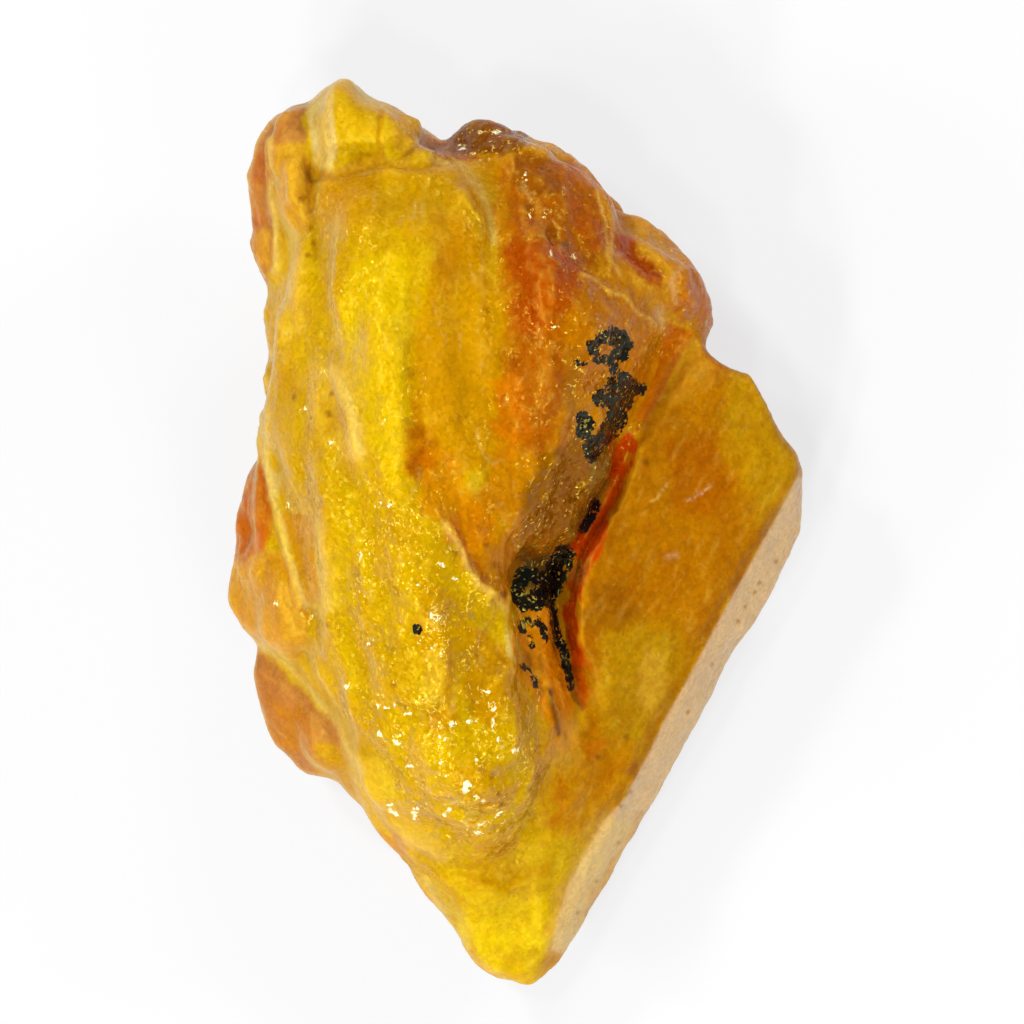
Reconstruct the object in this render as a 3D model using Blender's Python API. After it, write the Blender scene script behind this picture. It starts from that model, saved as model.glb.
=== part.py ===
"""Rough yellow sapphire: one broken crystal lump that lies on its flat parting face.

The lump is grown from convex blocks, one for each main form of the stone, fused into one skin.
Grooves, steps and swellings are then pressed into that skin along lines drawn in plan, and a
rough relief is laid over it. +Y runs along the stone's length and +Z up from the face it rests on.
"""

import bmesh
import bpy
import numpy as np
from mathutils import Vector, noise

MM = 0.001

# Driving sizes, in millimetres.
WIDTH = 24.0
LENGTH = 37.7
HEIGHT = 16.2

# Skin of the fused blocks, and of the roughened stone, in millimetres.
FUSE_VOXEL = 0.36
ROUGH_VOXEL = 0.3
TRIANGLES = 9700

# The underside is modelled this deep, then parted off flat at zero height.
BURIED = -0.8

STONE_YELLOW = (0.78, 0.42, 0.03, 1.0)

# Each block is the convex hull of its corners (x, y, z) in millimetres.
BLOCKS = {
    # The broad underside, which narrows to the face that the stone rests on.
    "belly": [
        (-6.6, -4.0, BURIED), (-6.8, 4.0, BURIED), (-5.2, 9.5, BURIED), (-0.5, 11.6, BURIED),
        (4.0, 8.2, BURIED), (5.8, 2.4, BURIED), (3.8, -6.2, BURIED), (0.2, -11.6, BURIED),
        (-4.2, -8.6, BURIED),
        (-10.2, -3.0, 4.6), (-9.7, 5.0, 5.2), (-9.4, 13.0, 6.0), (-6.4, 16.6, 7.0), (0.6, 15.0, 6.6),
        (6.4, 10.2, 6.0), (8.8, 5.4, 4.6), (5.6, -6.6, 3.4), (0.4, -15.6, 2.8), (-5.6, -10.6, 3.6),
    ],
    # The heart, which carries the ridge, the dome and the shoulder.
    "heart": [
        (-8.2, 12.6, 9.6), (-2.6, 14.6, 9.8), (2.6, 13.2, 10.0), (6.4, 9.6, 9.6), (5.6, 7.4, 9.2),
        (4.2, 3.0, 9.0), (2.4, 0.4, 8.8), (1.9, -3.0, 8.8), (1.6, -8.4, 8.8), (0.8, -9.8, 8.4),
        (-1.4, -12.2, 7.4), (-6.2, -9.4, 7.4), (-9.4, -5.4, 6.8), (-9.6, 4.0, 8.8), (7.2, 8.2, 8.8),
        (0.4, -1.4, 9.6), (0.2, -3.4, 9.6),
        (-7.8, -4.0, 2.6), (-7.4, 10.0, 2.6), (4.8, 6.6, 2.6), (0.6, -9.0, 2.6),
    ],
    # The orange web that fills the fold between the ridge and the dome.
    "web": [
        (-4.4, 7.0, 15.2), (-4.2, 2.4, 15.0), (-3.0, 0.4, 14.4), (-1.0, -2.0, 12.6), (-0.3, -1.2, 11.4),
        (0.9, 1.4, 12.8), (1.4, 4.0, 13.9), (1.2, 9.0, 14.9), (0.6, 12.6, 13.4), (-2.0, 13.4, 13.4),
        (-3.0, 6.0, 9.0), (0.6, 8.0, 9.0), (-0.6, -0.6, 8.0), (-3.0, 2.0, 9.0),
    ],
    # The brow that joins the dome to the brown crest.
    "brow": [
        (-1.4, 14.6, 12.4), (0.2, 15.8, 11.6), (2.0, 15.4, 11.2), (3.4, 14.0, 11.4), (4.2, 12.2, 11.9),
        (0.2, 13.2, 13.4), (2.0, 12.6, 13.4), (3.6, 11.0, 12.8), (0.0, 13.6, 8.0), (3.4, 12.0, 8.0),
        (1.6, 14.8, 7.6), (-1.2, 14.4, 8.0), (4.6, 12.4, 8.0),
    ],
    # The low shelf on the right, with its flat top and the steep sawn-looking face beyond it.
    "shelf": [
        (6.6, 7.2, 9.7), (8.6, 7.2, 9.0), (10.2, 6.7, 8.5), (11.1, 5.2, 7.9), (11.8, 3.5, 7.3),
        (11.6, 2.3, 7.0), (10.3, 0.0, 6.7), (7.7, -4.7, 6.4), (5.0, -10.0, 6.2), (3.0, -13.3, 5.9),
        (1.3, -17.2, 5.2), (0.4, -18.5, 4.6), (-1.4, -17.8, 4.8), (-2.6, -16.0, 5.6),
        (4.9, 3.8, 9.8), (3.7, 0.0, 9.2), (2.6, -4.0, 8.7), (1.0, -11.0, 8.0), (-2.4, -13.0, 7.4),
        (12.2, 1.6, 3.9), (12.0, -0.2, 3.5), (10.4, -2.8, 3.1), (8.6, -6.2, 2.9), (6.1, -11.0, 2.7),
        (3.5, -15.1, 2.7), (1.8, -18.1, 3.1), (0.7, -19.0, 3.6), (-1.6, -18.2, 3.8),
        (8.6, 3.4, 1.9), (5.6, -5.4, 0.9), (1.2, -14.6, 1.2), (6.0, 6.0, 2.0),
    ],
    # The toe: the ledge under the ridge's lower left side, running out to the point.
    "toe": [
        (-6.2, -11.6, 5.4), (-5.4, -12.9, 4.6), (-4.2, -14.1, 4.3), (-3.1, -15.6, 4.2), (-2.2, -17.1, 4.1),
        (-1.6, -18.1, 4.0), (0.4, -18.8, 4.0), (-4.8, -11.6, 8.0), (-1.0, -13.0, 7.9), (-1.8, -16.0, 6.2),
        (-4.6, -10.6, 1.8), (-0.8, -15.8, 1.9),
    ],
    # The long yellow ridge, in three lengths because it bends.
    "ridge_upper": [
        (-9.2, 12.6, 10.6), (-7.9, 14.7, 12.4), (-4.0, 15.2, 13.0), (-2.2, 14.8, 13.0), (-1.0, 13.2, 13.2),
        (-6.6, 12.0, 15.0), (-3.0, 12.2, 15.0), (-0.8, 8.0, 14.2), (-5.8, 7.0, 16.0), (-3.2, 7.0, 15.8),
        (-0.9, 2.6, 14.0), (-4.6, 1.6, 15.4), (-7.8, 3.0, 13.6), (-9.8, 8.0, 10.4), (-10.2, 4.0, 9.8),
        (-10.0, 9.0, 6.0), (-10.5, 5.0, 6.0), (-9.6, 13.0, 6.0), (-2.0, 15.0, 6.0), (-8.0, 15.0, 6.0),
        (-0.8, 8.0, 6.0), (-1.0, 2.8, 6.0),
    ],
    "ridge_middle": [
        (-10.1, 4.0, 9.6), (-7.6, 4.0, 13.8), (-4.6, 4.0, 15.6), (-1.2, 2.4, 14.0), (-0.4, -2.6, 12.4),
        (-0.1, -4.8, 11.8), (-3.4, -4.6, 14.5), (-6.4, -3.4, 13.2), (-9.0, -2.8, 10.4), (-9.9, 0.6, 9.6),
        (-10.4, 2.0, 5.6), (-9.6, -4.0, 5.6), (-0.8, 2.0, 6.0), (-0.6, -4.6, 6.0),
    ],
    "ridge_lower": [
        (-8.4, -3.8, 10.2), (-6.2, -3.4, 13.0), (-3.4, -4.2, 14.5), (-0.1, -5.0, 11.8), (0.9, -8.4, 11.0),
        (0.9, -11.0, 10.2), (0.2, -12.8, 8.8), (-1.6, -13.5, 8.4), (-3.8, -12.9, 8.2), (-5.6, -10.9, 8.6),
        (-7.0, -8.3, 8.8), (-3.4, -9.2, 13.2), (-1.4, -10.4, 12.6), (-5.4, -7.0, 12.0),
        (-8.2, -5.0, 5.0), (-6.4, -10.8, 4.6), (-1.4, -12.0, 4.0), (-0.4, -5.0, 6.0), (0.6, -8.6, 6.0),
    ],
    # The knob at the top left, a blocky stub with flat faces.
    "knob": [
        (-8.4, 17.0, 11.4), (-7.7, 18.3, 10.8), (-6.9, 18.5, 10.9), (-5.7, 17.9, 11.2), (-4.6, 17.0, 11.3),
        (-3.8, 16.6, 10.8), (-4.0, 15.4, 12.0), (-5.6, 15.2, 13.3), (-7.4, 15.0, 13.2), (-8.1, 15.6, 12.2),
        (-7.4, 17.4, 13.0), (-5.6, 17.0, 13.0), (-8.0, 18.0, 7.6), (-5.2, 17.4, 7.2), (-4.0, 16.4, 7.0),
        (-7.4, 18.6, 9.2), (-6.8, 15.4, 5.6),
    ],
    # The reddish column beside the knob, split into an outer and an inner lobe.
    "column_outer": [
        (-10.8, 15.9, 8.8), (-10.1, 16.9, 9.0), (-9.3, 17.5, 9.2), (-8.5, 17.4, 9.6), (-11.3, 14.2, 8.2),
        (-11.4, 12.2, 7.8), (-11.1, 11.2, 7.4), (-10.4, 10.3, 7.4), (-9.8, 16.0, 10.8), (-9.9, 13.0, 10.2),
        (-9.8, 11.2, 9.4), (-9.8, 16.4, 6.0), (-10.0, 12.0, 5.0), (-8.4, 16.8, 6.4),
    ],
    "column_inner": [
        (-9.8, 17.2, 10.2), (-8.8, 17.4, 11.0), (-8.5, 15.8, 12.0), (-8.6, 13.4, 12.4), (-9.6, 14.0, 11.4),
        (-9.7, 16.2, 11.2), (-9.4, 12.2, 11.0), (-9.0, 15.0, 6.0),
        (-7.8, 17.2, 8.6), (-7.8, 16.4, 10.2), (-7.8, 14.4, 11.0), (-8.0, 16.8, 6.4), (-9.4, 17.0, 6.6),
    ],
    # The saddle between the knob and the brown crest.
    "saddle": [
        (-3.9, 15.9, 8.8), (-2.6, 15.4, 9.0), (-2.4, 14.8, 10.8), (-4.0, 14.8, 11.0), (-0.6, 15.2, 9.6),
        (-3.2, 15.4, 5.8), (-1.0, 15.0, 5.6),
    ],
    # The brown crest along the top edge.
    "crest": [
        (-2.7, 16.4, 9.4), (-1.9, 16.5, 9.2), (0.0, 16.3, 8.9), (1.6, 15.6, 8.4), (3.0, 14.7, 7.8),
        (3.7, 14.0, 7.6), (4.3, 13.0, 8.0), (-2.4, 15.8, 10.8), (-0.4, 15.8, 11.2), (1.2, 15.2, 11.2),
        (2.7, 14.2, 11.2), (3.7, 12.8, 11.6), (-0.4, 14.6, 12.6), (1.6, 13.8, 12.9),
        (-1.4, 16.0, 5.6), (2.4, 14.8, 5.2), (4.0, 13.0, 5.0),
    ],
    # The orange dome, which ends above the cleft.
    "dome": [
        (-0.7, 13.2, 13.2), (1.0, 13.4, 13.6), (3.4, 12.6, 12.2), (4.1, 11.2, 12.4), (5.4, 9.6, 11.8),
        (5.9, 8.4, 11.0), (5.7, 6.5, 10.8), (4.7, 4.9, 10.8), (4.0, 3.4, 10.4), (3.7, 2.0, 9.8),
        (2.6, 0.4, 9.4), (1.2, 6.0, 15.2), (1.6, 9.6, 15.5), (3.2, 8.2, 14.4), (-0.7, 8.0, 14.4),
        (-0.7, 3.0, 13.8), (1.0, 3.0, 14.0), (0.3, -0.6, 11.6), (2.8, 4.6, 13.4),
        (4.6, 8.0, 5.0), (3.0, 3.0, 5.0), (0.6, -0.6, 5.0), (1.2, -0.9, 9.6),
    ],
    # The shoulder on the right, above the shelf.
    "shoulder": [
        (4.6, 13.2, 8.6), (5.6, 13.1, 8.6), (6.3, 12.4, 8.8), (7.0, 11.7, 8.6), (7.7, 10.9, 8.0),
        (8.5, 9.9, 7.6), (8.7, 9.1, 7.4), (8.4, 8.3, 7.6), (5.2, 12.0, 11.0), (6.6, 11.0, 10.8),
        (7.1, 9.8, 10.2), (6.4, 8.6, 10.6), (3.8, 11.6, 11.8), (5.4, 9.8, 11.6),
        (5.2, 12.4, 5.2), (7.4, 9.6, 4.6), (7.8, 7.6, 5.0), (7.2, 7.4, 9.7),
    ],
    # The low flank lobes on the left.
    "flank_upper": [
        (-10.5, 5.4, 8.0), (-9.4, 5.6, 8.6), (-9.2, 5.6, 5.0), (-11.0, 3.8, 7.6), (-11.5, 1.9, 6.9), (-11.7, -0.2, 6.3), (-12.05, -1.4, 6.0), (-12.1, -2.2, 5.8),
        (-12.0, -3.3, 5.6), (-11.5, -4.1, 5.6), (-10.0, 2.4, 9.4), (-9.6, -0.6, 9.8), (-10.7, -2.0, 8.6),
        (-8.8, -4.4, 9.4), (-10.6, -4.6, 7.4), (-9.4, -5.2, 7.8), (-10.0, 3.4, 4.6), (-11.0, -3.0, 3.8),
        (-9.0, -4.8, 3.4),
    ],
    "flank_lower": [
        (-10.6, -4.2, 5.2), (-11.0, -5.2, 5.2), (-11.1, -7.2, 4.6), (-10.6, -8.4, 4.2), (-9.6, -9.3, 4.0), (-8.4, -10.2, 4.0),
        (-7.3, -10.8, 4.2), (-6.3, -11.5, 4.6), (-9.2, -4.2, 7.4), (-9.2, -7.4, 6.8), (-7.4, -9.0, 7.2),
        (-9.8, -4.4, 3.0), (-10.0, -6.0, 2.8), (-7.4, -9.4, 2.4), (-5.6, -9.6, 2.0), (-6.6, -6.6, 7.6),
    ],
    # The spotted rib between the ridge and the cleft.
    "spotted_rib": [
        (0.2, -2.9, 9.4), (1.4, -3.1, 9.0), (1.9, -4.8, 9.2), (2.3, -6.6, 9.3), (2.4, -8.6, 9.2),
        (0.0, -4.8, 10.4), (0.6, -8.0, 10.6), (1.0, -10.0, 9.6), (0.4, -3.0, 5.0), (1.8, -8.0, 5.0),
    ],
}


def block_mesh(mesh, corners):
    """Adds the convex hull of the corners to the mesh."""
    made = [mesh.verts.new(Vector(c) * MM) for c in corners]
    bmesh.ops.convex_hull(mesh, input=made)


def remeshed(mesh, voxel, passes):
    """A copy of the mesh as one closed skin of even faces, rounded off by the smoothing passes."""
    holder = bpy.data.objects.new("holder", mesh)
    bpy.context.scene.collection.objects.link(holder)
    fuse = holder.modifiers.new("fuse", "REMESH")
    fuse.mode = "VOXEL"
    fuse.voxel_size = voxel * MM
    rounding = holder.modifiers.new("rounding", "SMOOTH")
    rounding.factor = 0.5
    rounding.iterations = passes
    graph = bpy.context.evaluated_depsgraph_get()
    skin = bpy.data.meshes.new_from_object(holder.evaluated_get(graph))
    bpy.data.objects.remove(holder)
    return skin


def fused_skin():
    """All blocks as one closed skin."""
    joined = bpy.data.meshes.new("blocks")
    for corners in BLOCKS.values():
        hull = bmesh.new()
        block_mesh(hull, corners)
        loose = [v for v in hull.verts if not v.link_faces]
        bmesh.ops.delete(hull, geom=loose, context="VERTS")
        hull.from_mesh(joined)
        hull.to_mesh(joined)
        hull.free()
    return remeshed(joined, FUSE_VOXEL, 3)


# Lines pressed into the skin from above. A point is (x, y) in millimetres, and the left and right
# sides are those of someone who walks along the line.
GROOVES = {
    # name: (depth, half width, points)
    "knob_foot": (0.8, 0.35, [(-8.2, 14.9), (-7.0, 15.1), (-5.4, 15.1), (-4.2, 15.4), (-3.0, 15.9)]),
    "knob_crack": (0.3, 0.2, [(-5.5, 17.3), (-5.5, 16.4), (-5.4, 15.6)]),
    "column_slot": (0.9, 0.35, [(-8.6, 17.6), (-8.5, 16.2), (-8.3, 14.8), (-8.5, 13.8), (-8.9, 13.2)]),
    "column_split": (0.5, 0.3, [(-10.2, 16.8), (-10.2, 15.0), (-10.0, 13.2), (-9.9, 11.2)]),
    "ridge_seam": (0.7, 0.5, [(-2.2, 15.2), (-1.0, 13.9), (-0.7, 12.0), (-0.5, 10.0), (-0.3, 8.0), (-0.5, 6.0)]),
    "cleft": (2.4, 0.6, [(6.6, 8.2), (6.2, 6.6), (5.1, 5.0), (4.4, 3.4), (4.2, 2.0), (3.2, 0.4), (2.2, -1.2),
                         (2.0, -3.0), (2.3, -5.0), (2.8, -7.0)]),
    "black_pit": (1.6, 0.8, [(2.2, -0.9), (1.2, -2.2), (0.3, -2.8)]),
    "shoulder_pit": (1.0, 0.4, [(4.2, 12.3), (4.6, 11.6), (5.2, 11.0), (5.8, 10.5)]),
    "shell_rim": (0.35, 0.3, [(2.2, 10.9), (3.2, 10.8), (4.6, 9.9), (5.6, 9.2)]),
    "left_furrow": (0.45, 0.4, [(-8.1, 13.4), (-8.0, 11.0), (-7.6, 8.6), (-7.4, 6.0), (-7.6, 3.8), (-7.0, 2.4),
                                (-6.0, 2.0)]),
    "flank_seam": (0.6, 0.4, [(-10.1, 3.4), (-10.1, 2.4), (-9.9, 0.8), (-9.4, -0.6), (-9.0, -2.4), (-8.4, -3.6)]),
    "flank_hole": (0.8, 0.3, [(-11.3, 0.2), (-10.6, -0.2), (-10.9, -0.8)]),
    "lobe_seam": (0.8, 0.35, [(-11.2, -4.9), (-10.0, -5.2), (-8.8, -6.2), (-7.6, -7.4), (-7.2, -8.8), (-6.4, -10.4)]),
    "lower_furrow": (0.35, 0.35, [(-7.4, -0.6), (-6.6, -2.4), (-6.8, -4.4), (-5.8, -6.4)]),
    "waist": (0.4, 0.5, [(-5.4, -6.8), (-4.0, -7.6), (-2.6, -7.2), (-1.2, -6.8), (0.0, -7.2)]),
}
STEPS = {
    # name: (height, half width, reach, points); the left side rises and the right side sinks
    "yellow_edge": (0.6, 0.15, 1.4, [(-1.2, -2.2), (-2.3, -1.0), (-2.9, 0.3), (-3.8, 0.9), (-4.3, 2.6),
                                     (-4.4, 5.4), (-4.3, 8.0)]),
    "rib_edge": (0.8, 0.2, 1.0, [(1.2, -9.0), (0.2, -7.2), (-0.2, -5.6), (0.1, -4.6), (-0.1, -3.0), (-0.7, -1.8)]),
    "ridge_toe": (0.9, 0.25, 1.2, [(1.5, -9.4), (0.9, -10.6), (0.8, -12.2), (0.0, -13.6), (-1.0, -14.1),
                                   (-3.0, -13.4), (-4.4, -12.8), (-5.6, -11.8)]),
    "flank_window": (0.4, 0.2, 0.9, [(-9.7, 1.1), (-8.2, 0.9), (-8.2, -1.0), (-8.0, -2.9)]),
}
# The smooth ground: the shelf and the toe, to the right of this line.
SHELF_LIMIT = [(-7.0, -13.0), (-3.6, -13.6), (0.6, -13.6), (1.4, -10.0), (2.6, -7.4), (2.2, -4.0), (3.0, 0.0),
               (4.6, 3.6), (6.4, 7.4), (9.0, 9.0)]


def smooth(x):
    x = np.clip(x, 0.0, 1.0)
    return x * x * (3.0 - 2.0 * x)


def along_line(plan, line):
    """For each plan point: its distance from the line, which side it is on, and its place along it."""
    corners = np.array(line, float)
    lengths = np.linalg.norm(np.diff(corners, axis=0), axis=1)
    starts = np.concatenate([[0.0], np.cumsum(lengths)])
    best = np.full(len(plan), np.inf)
    side = np.ones(len(plan))
    place = np.zeros(len(plan))
    for a, b, start, length in zip(corners[:-1], corners[1:], starts, lengths):
        run = (b - a) / length
        off = plan - a
        along = np.clip(off @ run, 0.0, length)
        gap = np.linalg.norm(off - along[:, None] * run, axis=1)
        nearer = gap < best
        best[nearer] = gap[nearer]
        side[nearer] = np.sign(run[0] * off[nearer, 1] - run[1] * off[nearer, 0])
        place[nearer] = start + along[nearer]
    return best, side, place, starts[-1]


def end_fade(place, whole, half_width):
    """Falls to nothing at both ends of a line."""
    run_out = 2.5 * half_width
    return smooth(0.35 + place / run_out) * smooth(0.35 + (whole - place) / run_out)


def press_lines(at, facing_up):
    """The height change that the grooves and steps give to each point."""
    rise = np.zeros(len(at))
    for depth, half_width, line in GROOVES.values():
        gap, _, place, whole = along_line(at[:, :2], line)
        rise -= depth * np.exp(-((gap / half_width) ** 2)) * end_fade(place, whole, half_width)
    for height, half_width, reach, line in STEPS.values():
        gap, side, place, whole = along_line(at[:, :2], line)
        across = np.tanh(side * gap / half_width) * np.exp(-((gap / reach) ** 2))
        rise += 0.5 * height * across * end_fade(place, whole, half_width)
    return rise * facing_up


def relief(point, calm):
    """The rough skin's own height at a point, in millimetres: lumps, chipped cells and long striae."""
    p = Vector(point)
    lumps = 0.36 * noise.fractal(p / 5.0 + Vector((3.1, 0.4, 7.7)), 1.0, 2.0, 3)
    near, _ = noise.voronoi(Vector((p.x / 2.3, p.y / 4.4, p.z / 2.3)))
    chips = 0.62 * (0.45 - near[0]) + 0.36 * min(near[1] - near[0], 0.3)
    striae = 0.24 * noise.noise(Vector((p.x / 0.95, p.y / 7.0, p.z / 1.4)))
    return lumps * (1.0 - 0.4 * calm) + (chips + striae) * (1.0 - 0.8 * calm)


def shaped(skin):
    """Moves the skin's points: the lines first, then the relief along the normals."""
    at = np.empty(len(skin.vertices) * 3)
    skin.vertices.foreach_get("co", at)
    at = at.reshape(-1, 3) / MM
    normals = np.array([v.normal for v in skin.vertices])
    at[:, 2] += press_lines(at, smooth(normals[:, 2] / 0.5))
    gap, side, _, _ = along_line(at[:, :2], SHELF_LIMIT)
    calm = smooth(0.5 - 0.8 * side * gap) * smooth((11.0 - at[:, 2]) / 1.5)
    heights = np.array([relief(p, c) for p, c in zip(at, calm)])
    at += normals * heights[:, None]
    skin.vertices.foreach_set("co", (at * MM).ravel())
    skin.update()


def thinned(mesh, triangles):
    """A copy of the mesh with about this many triangles."""
    holder = bpy.data.objects.new("holder", mesh)
    bpy.context.scene.collection.objects.link(holder)
    thin = holder.modifiers.new("thin", "DECIMATE")
    thin.ratio = triangles / sum(len(face.vertices) - 2 for face in mesh.polygons)
    graph = bpy.context.evaluated_depsgraph_get()
    fewer = bpy.data.meshes.new_from_object(holder.evaluated_get(graph))
    bpy.data.objects.remove(holder)
    return fewer


def seated(mesh):
    """Parts the stone off flat at zero height and fits it to its driving sizes."""
    cut = bmesh.new()
    cut.from_mesh(mesh)
    whole = cut.verts[:] + cut.edges[:] + cut.faces[:]
    made = bmesh.ops.bisect_plane(cut, geom=whole, plane_co=(0, 0, 0), plane_no=(0, 0, 1), clear_inner=True)
    rim = [part for part in made["geom_cut"] if isinstance(part, bmesh.types.BMEdge)]
    short = [edge for edge in rim if edge.calc_length() < 0.15 * MM]
    bmesh.ops.collapse(cut, edges=short)
    rim = [edge for edge in cut.edges if edge.is_boundary]
    bmesh.ops.triangle_fill(cut, edges=rim, use_beauty=True)
    at = np.array([vert.co for vert in cut.verts])
    low, high = at.min(axis=0), at.max(axis=0)
    middle = Vector(((low[0] + high[0]) / 2, (low[1] + high[1]) / 2, 0.0))
    fit = Vector((WIDTH * MM, LENGTH * MM, HEIGHT * MM))
    for vert in cut.verts:
        for axis in range(3):
            vert.co[axis] = (vert.co[axis] - middle[axis]) * fit[axis] / (high[axis] - low[axis])
    bmesh.ops.triangulate(cut, faces=cut.faces[:])
    bmesh.ops.recalc_face_normals(cut, faces=cut.faces[:])
    cut.to_mesh(mesh)
    cut.free()
    return mesh


def sapphire_material():
    material = bpy.data.materials.new("yellow sapphire")
    material.use_nodes = True
    shader = material.node_tree.nodes["Principled BSDF"]
    shader.inputs["Base Color"].default_value = STONE_YELLOW
    shader.inputs["Roughness"].default_value = 0.3
    shader.inputs["IOR"].default_value = 1.77
    return material


for old in list(bpy.data.objects):
    bpy.data.objects.remove(old)

skin = fused_skin()
shaped(skin)
skin = remeshed(skin, ROUGH_VOXEL, 1)
skin = seated(thinned(skin, TRIANGLES))
skin.materials.append(sapphire_material())
stone = bpy.data.objects.new("sapphire", skin)
bpy.context.scene.collection.objects.link(stone)
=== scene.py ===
import bmesh
import bpy
import numpy as np
from mathutils import Matrix, Vector, noise


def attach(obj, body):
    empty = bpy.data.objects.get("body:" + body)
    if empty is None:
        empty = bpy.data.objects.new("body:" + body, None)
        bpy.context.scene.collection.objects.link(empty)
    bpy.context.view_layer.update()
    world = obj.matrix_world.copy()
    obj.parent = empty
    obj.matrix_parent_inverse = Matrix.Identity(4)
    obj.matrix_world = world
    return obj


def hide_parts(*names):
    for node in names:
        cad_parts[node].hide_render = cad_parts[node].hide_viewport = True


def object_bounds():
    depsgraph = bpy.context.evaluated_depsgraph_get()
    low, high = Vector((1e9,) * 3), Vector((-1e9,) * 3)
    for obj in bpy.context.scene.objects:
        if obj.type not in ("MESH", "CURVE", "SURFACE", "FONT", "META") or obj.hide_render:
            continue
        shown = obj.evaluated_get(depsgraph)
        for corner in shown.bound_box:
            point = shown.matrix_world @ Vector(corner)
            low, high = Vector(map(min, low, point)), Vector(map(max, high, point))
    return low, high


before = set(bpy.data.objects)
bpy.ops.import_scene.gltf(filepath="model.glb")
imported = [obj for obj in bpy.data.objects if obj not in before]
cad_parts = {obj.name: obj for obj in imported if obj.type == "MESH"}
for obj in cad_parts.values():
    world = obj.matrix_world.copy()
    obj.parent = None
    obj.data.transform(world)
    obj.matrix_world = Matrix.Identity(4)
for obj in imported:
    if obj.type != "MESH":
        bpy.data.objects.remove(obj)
cad_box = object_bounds()

# The camera looks straight down on the stone, at 24 pixels to the millimetre of its middle height.
PICTURE_PIXELS = 1024
PIXELS_PER_METRE = 24000
CAMERA_HEIGHT = 0.4
MIDDLE_HEIGHT = 0.006
camera = bpy.data.objects.new("camera", bpy.data.cameras.new("camera"))
camera.location = (-0.000146, 0.000958, CAMERA_HEIGHT)
camera.data.sensor_width = 36.0
seen_width = PICTURE_PIXELS / PIXELS_PER_METRE
camera.data.lens = camera.data.sensor_width * (CAMERA_HEIGHT - MIDDLE_HEIGHT) / seen_width
camera.data.clip_start = 0.01
bpy.context.scene.collection.objects.link(camera)
bpy.context.scene.camera = camera

# The stone: one lump of cloudy yellow corundum, broken out of its vein. Its skin is fused growth steps
# and small chips, smooth only on the parted face (the shelf) and on the narrow face beside it. It stands
# loose on a flat broken face. Sizes are in millimetres, up to the meshes themselves.
TO_MM = 1000.0
TO_METRES = 0.001
VOXEL = 0.15
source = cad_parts["sapphire"]
blank = bpy.data.objects.new("blank", source.data.copy())
bpy.context.scene.collection.objects.link(blank)

# Two narrow gaps in the right side, under the dome and under its lobe, are grown shut: (middle, reach).
GROWTHS = [((2.0, 13.5, 7.0), (2.6, 1.1, 1.1)), ((6.6, 7.8, 6.0), (1.1, 0.6, 1.3))]
body = bmesh.new()
body.from_mesh(blank.data)
for middle, reach in GROWTHS:
    growth = Matrix.LocRotScale(Vector(middle) * TO_METRES, None, Vector(reach) * TO_METRES)
    bmesh.ops.create_icosphere(body, subdivisions=4, radius=1.0, matrix=growth)
body.to_mesh(blank.data)
body.free()

skin = blank.modifiers.new("skin", "REMESH")
skin.mode = "VOXEL"
skin.voxel_size = VOXEL * TO_METRES
ease = blank.modifiers.new("ease", "SMOOTH")
ease.factor = 0.5
ease.iterations = 8
mesh = bpy.data.meshes.new_from_object(blank.evaluated_get(bpy.context.evaluated_depsgraph_get()))
bpy.data.objects.remove(blank)


def read(mesh):
    """The vertices in millimetres, their plan (x and y) and their normals."""
    at = np.empty(len(mesh.vertices) * 3)
    mesh.vertices.foreach_get("co", at)
    at = at.reshape(-1, 3) * TO_MM
    return at, at[:, :2], np.array([v.normal for v in mesh.vertices])


def net(mesh):
    """The two ends of each edge, and how many neighbours each vertex has."""
    ends = np.empty(len(mesh.edges) * 2, int)
    mesh.edges.foreach_get("vertices", ends)
    return ends.reshape(-1, 2), np.bincount(ends, minlength=len(mesh.vertices))[:, None]


def spread(values, ends, counts, times):
    """Each value's mean over its neighbours, so many times over."""
    for _ in range(times):
        sums = [np.bincount(ends[:, 0], column[ends[:, 1]], len(values))
                + np.bincount(ends[:, 1], column[ends[:, 0]], len(values)) for column in values.T]
        values = np.stack(sums, axis=1) / counts
    return values


def smooth(x):
    """0 below 0, 1 above 1, and a soft rise between them."""
    x = np.clip(x, 0.0, 1.0)
    return x * x * (3.0 - 2.0 * x)


def line_gap(plan, line):
    """How far each plan point is from a line of (x, y) points."""
    best = np.full(len(plan), np.inf)
    corners = np.array(line, float)
    for a, b in zip(corners[:-1], corners[1:]):
        run = b - a
        off = plan - a
        share = np.clip(off @ run / (run @ run), 0.0, 1.0)
        best = np.minimum(best, np.linalg.norm(off - share[:, None] * run, axis=1))
    return best


def area(plan, outline, edge):
    """1 inside the outline, falling to 0 over the edge width."""
    corners = np.array(outline, float)
    inside = np.zeros(len(plan), bool)
    for a, b in zip(corners, np.roll(corners, -1, axis=0)):
        crosses = (a[1] > plan[:, 1]) != (b[1] > plan[:, 1])
        reach = a[0] + (plan[:, 1] - a[1]) * (b[0] - a[0]) / (b[1] - a[1] + 1e-12)
        inside ^= crosses & (plan[:, 0] < reach)
    gap = line_gap(plan, list(outline) + [outline[0]])
    return smooth(0.5 + np.where(inside, gap, -gap) / edge)


at, plan, normals = read(mesh)
ends, counts = net(mesh)
EASING_ROUNDS = 60


def easing(lines, full, fade):
    """How the skin moves when it is eased: wholly up to one distance from the lines, then less and less."""
    gaps = np.min([line_gap(plan, line) for line in lines], axis=0)
    eased = spread(at, ends, counts, EASING_ROUNDS)
    return smooth(1.0 + (full - gaps) / fade)[:, None] * (eased - at)


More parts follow.
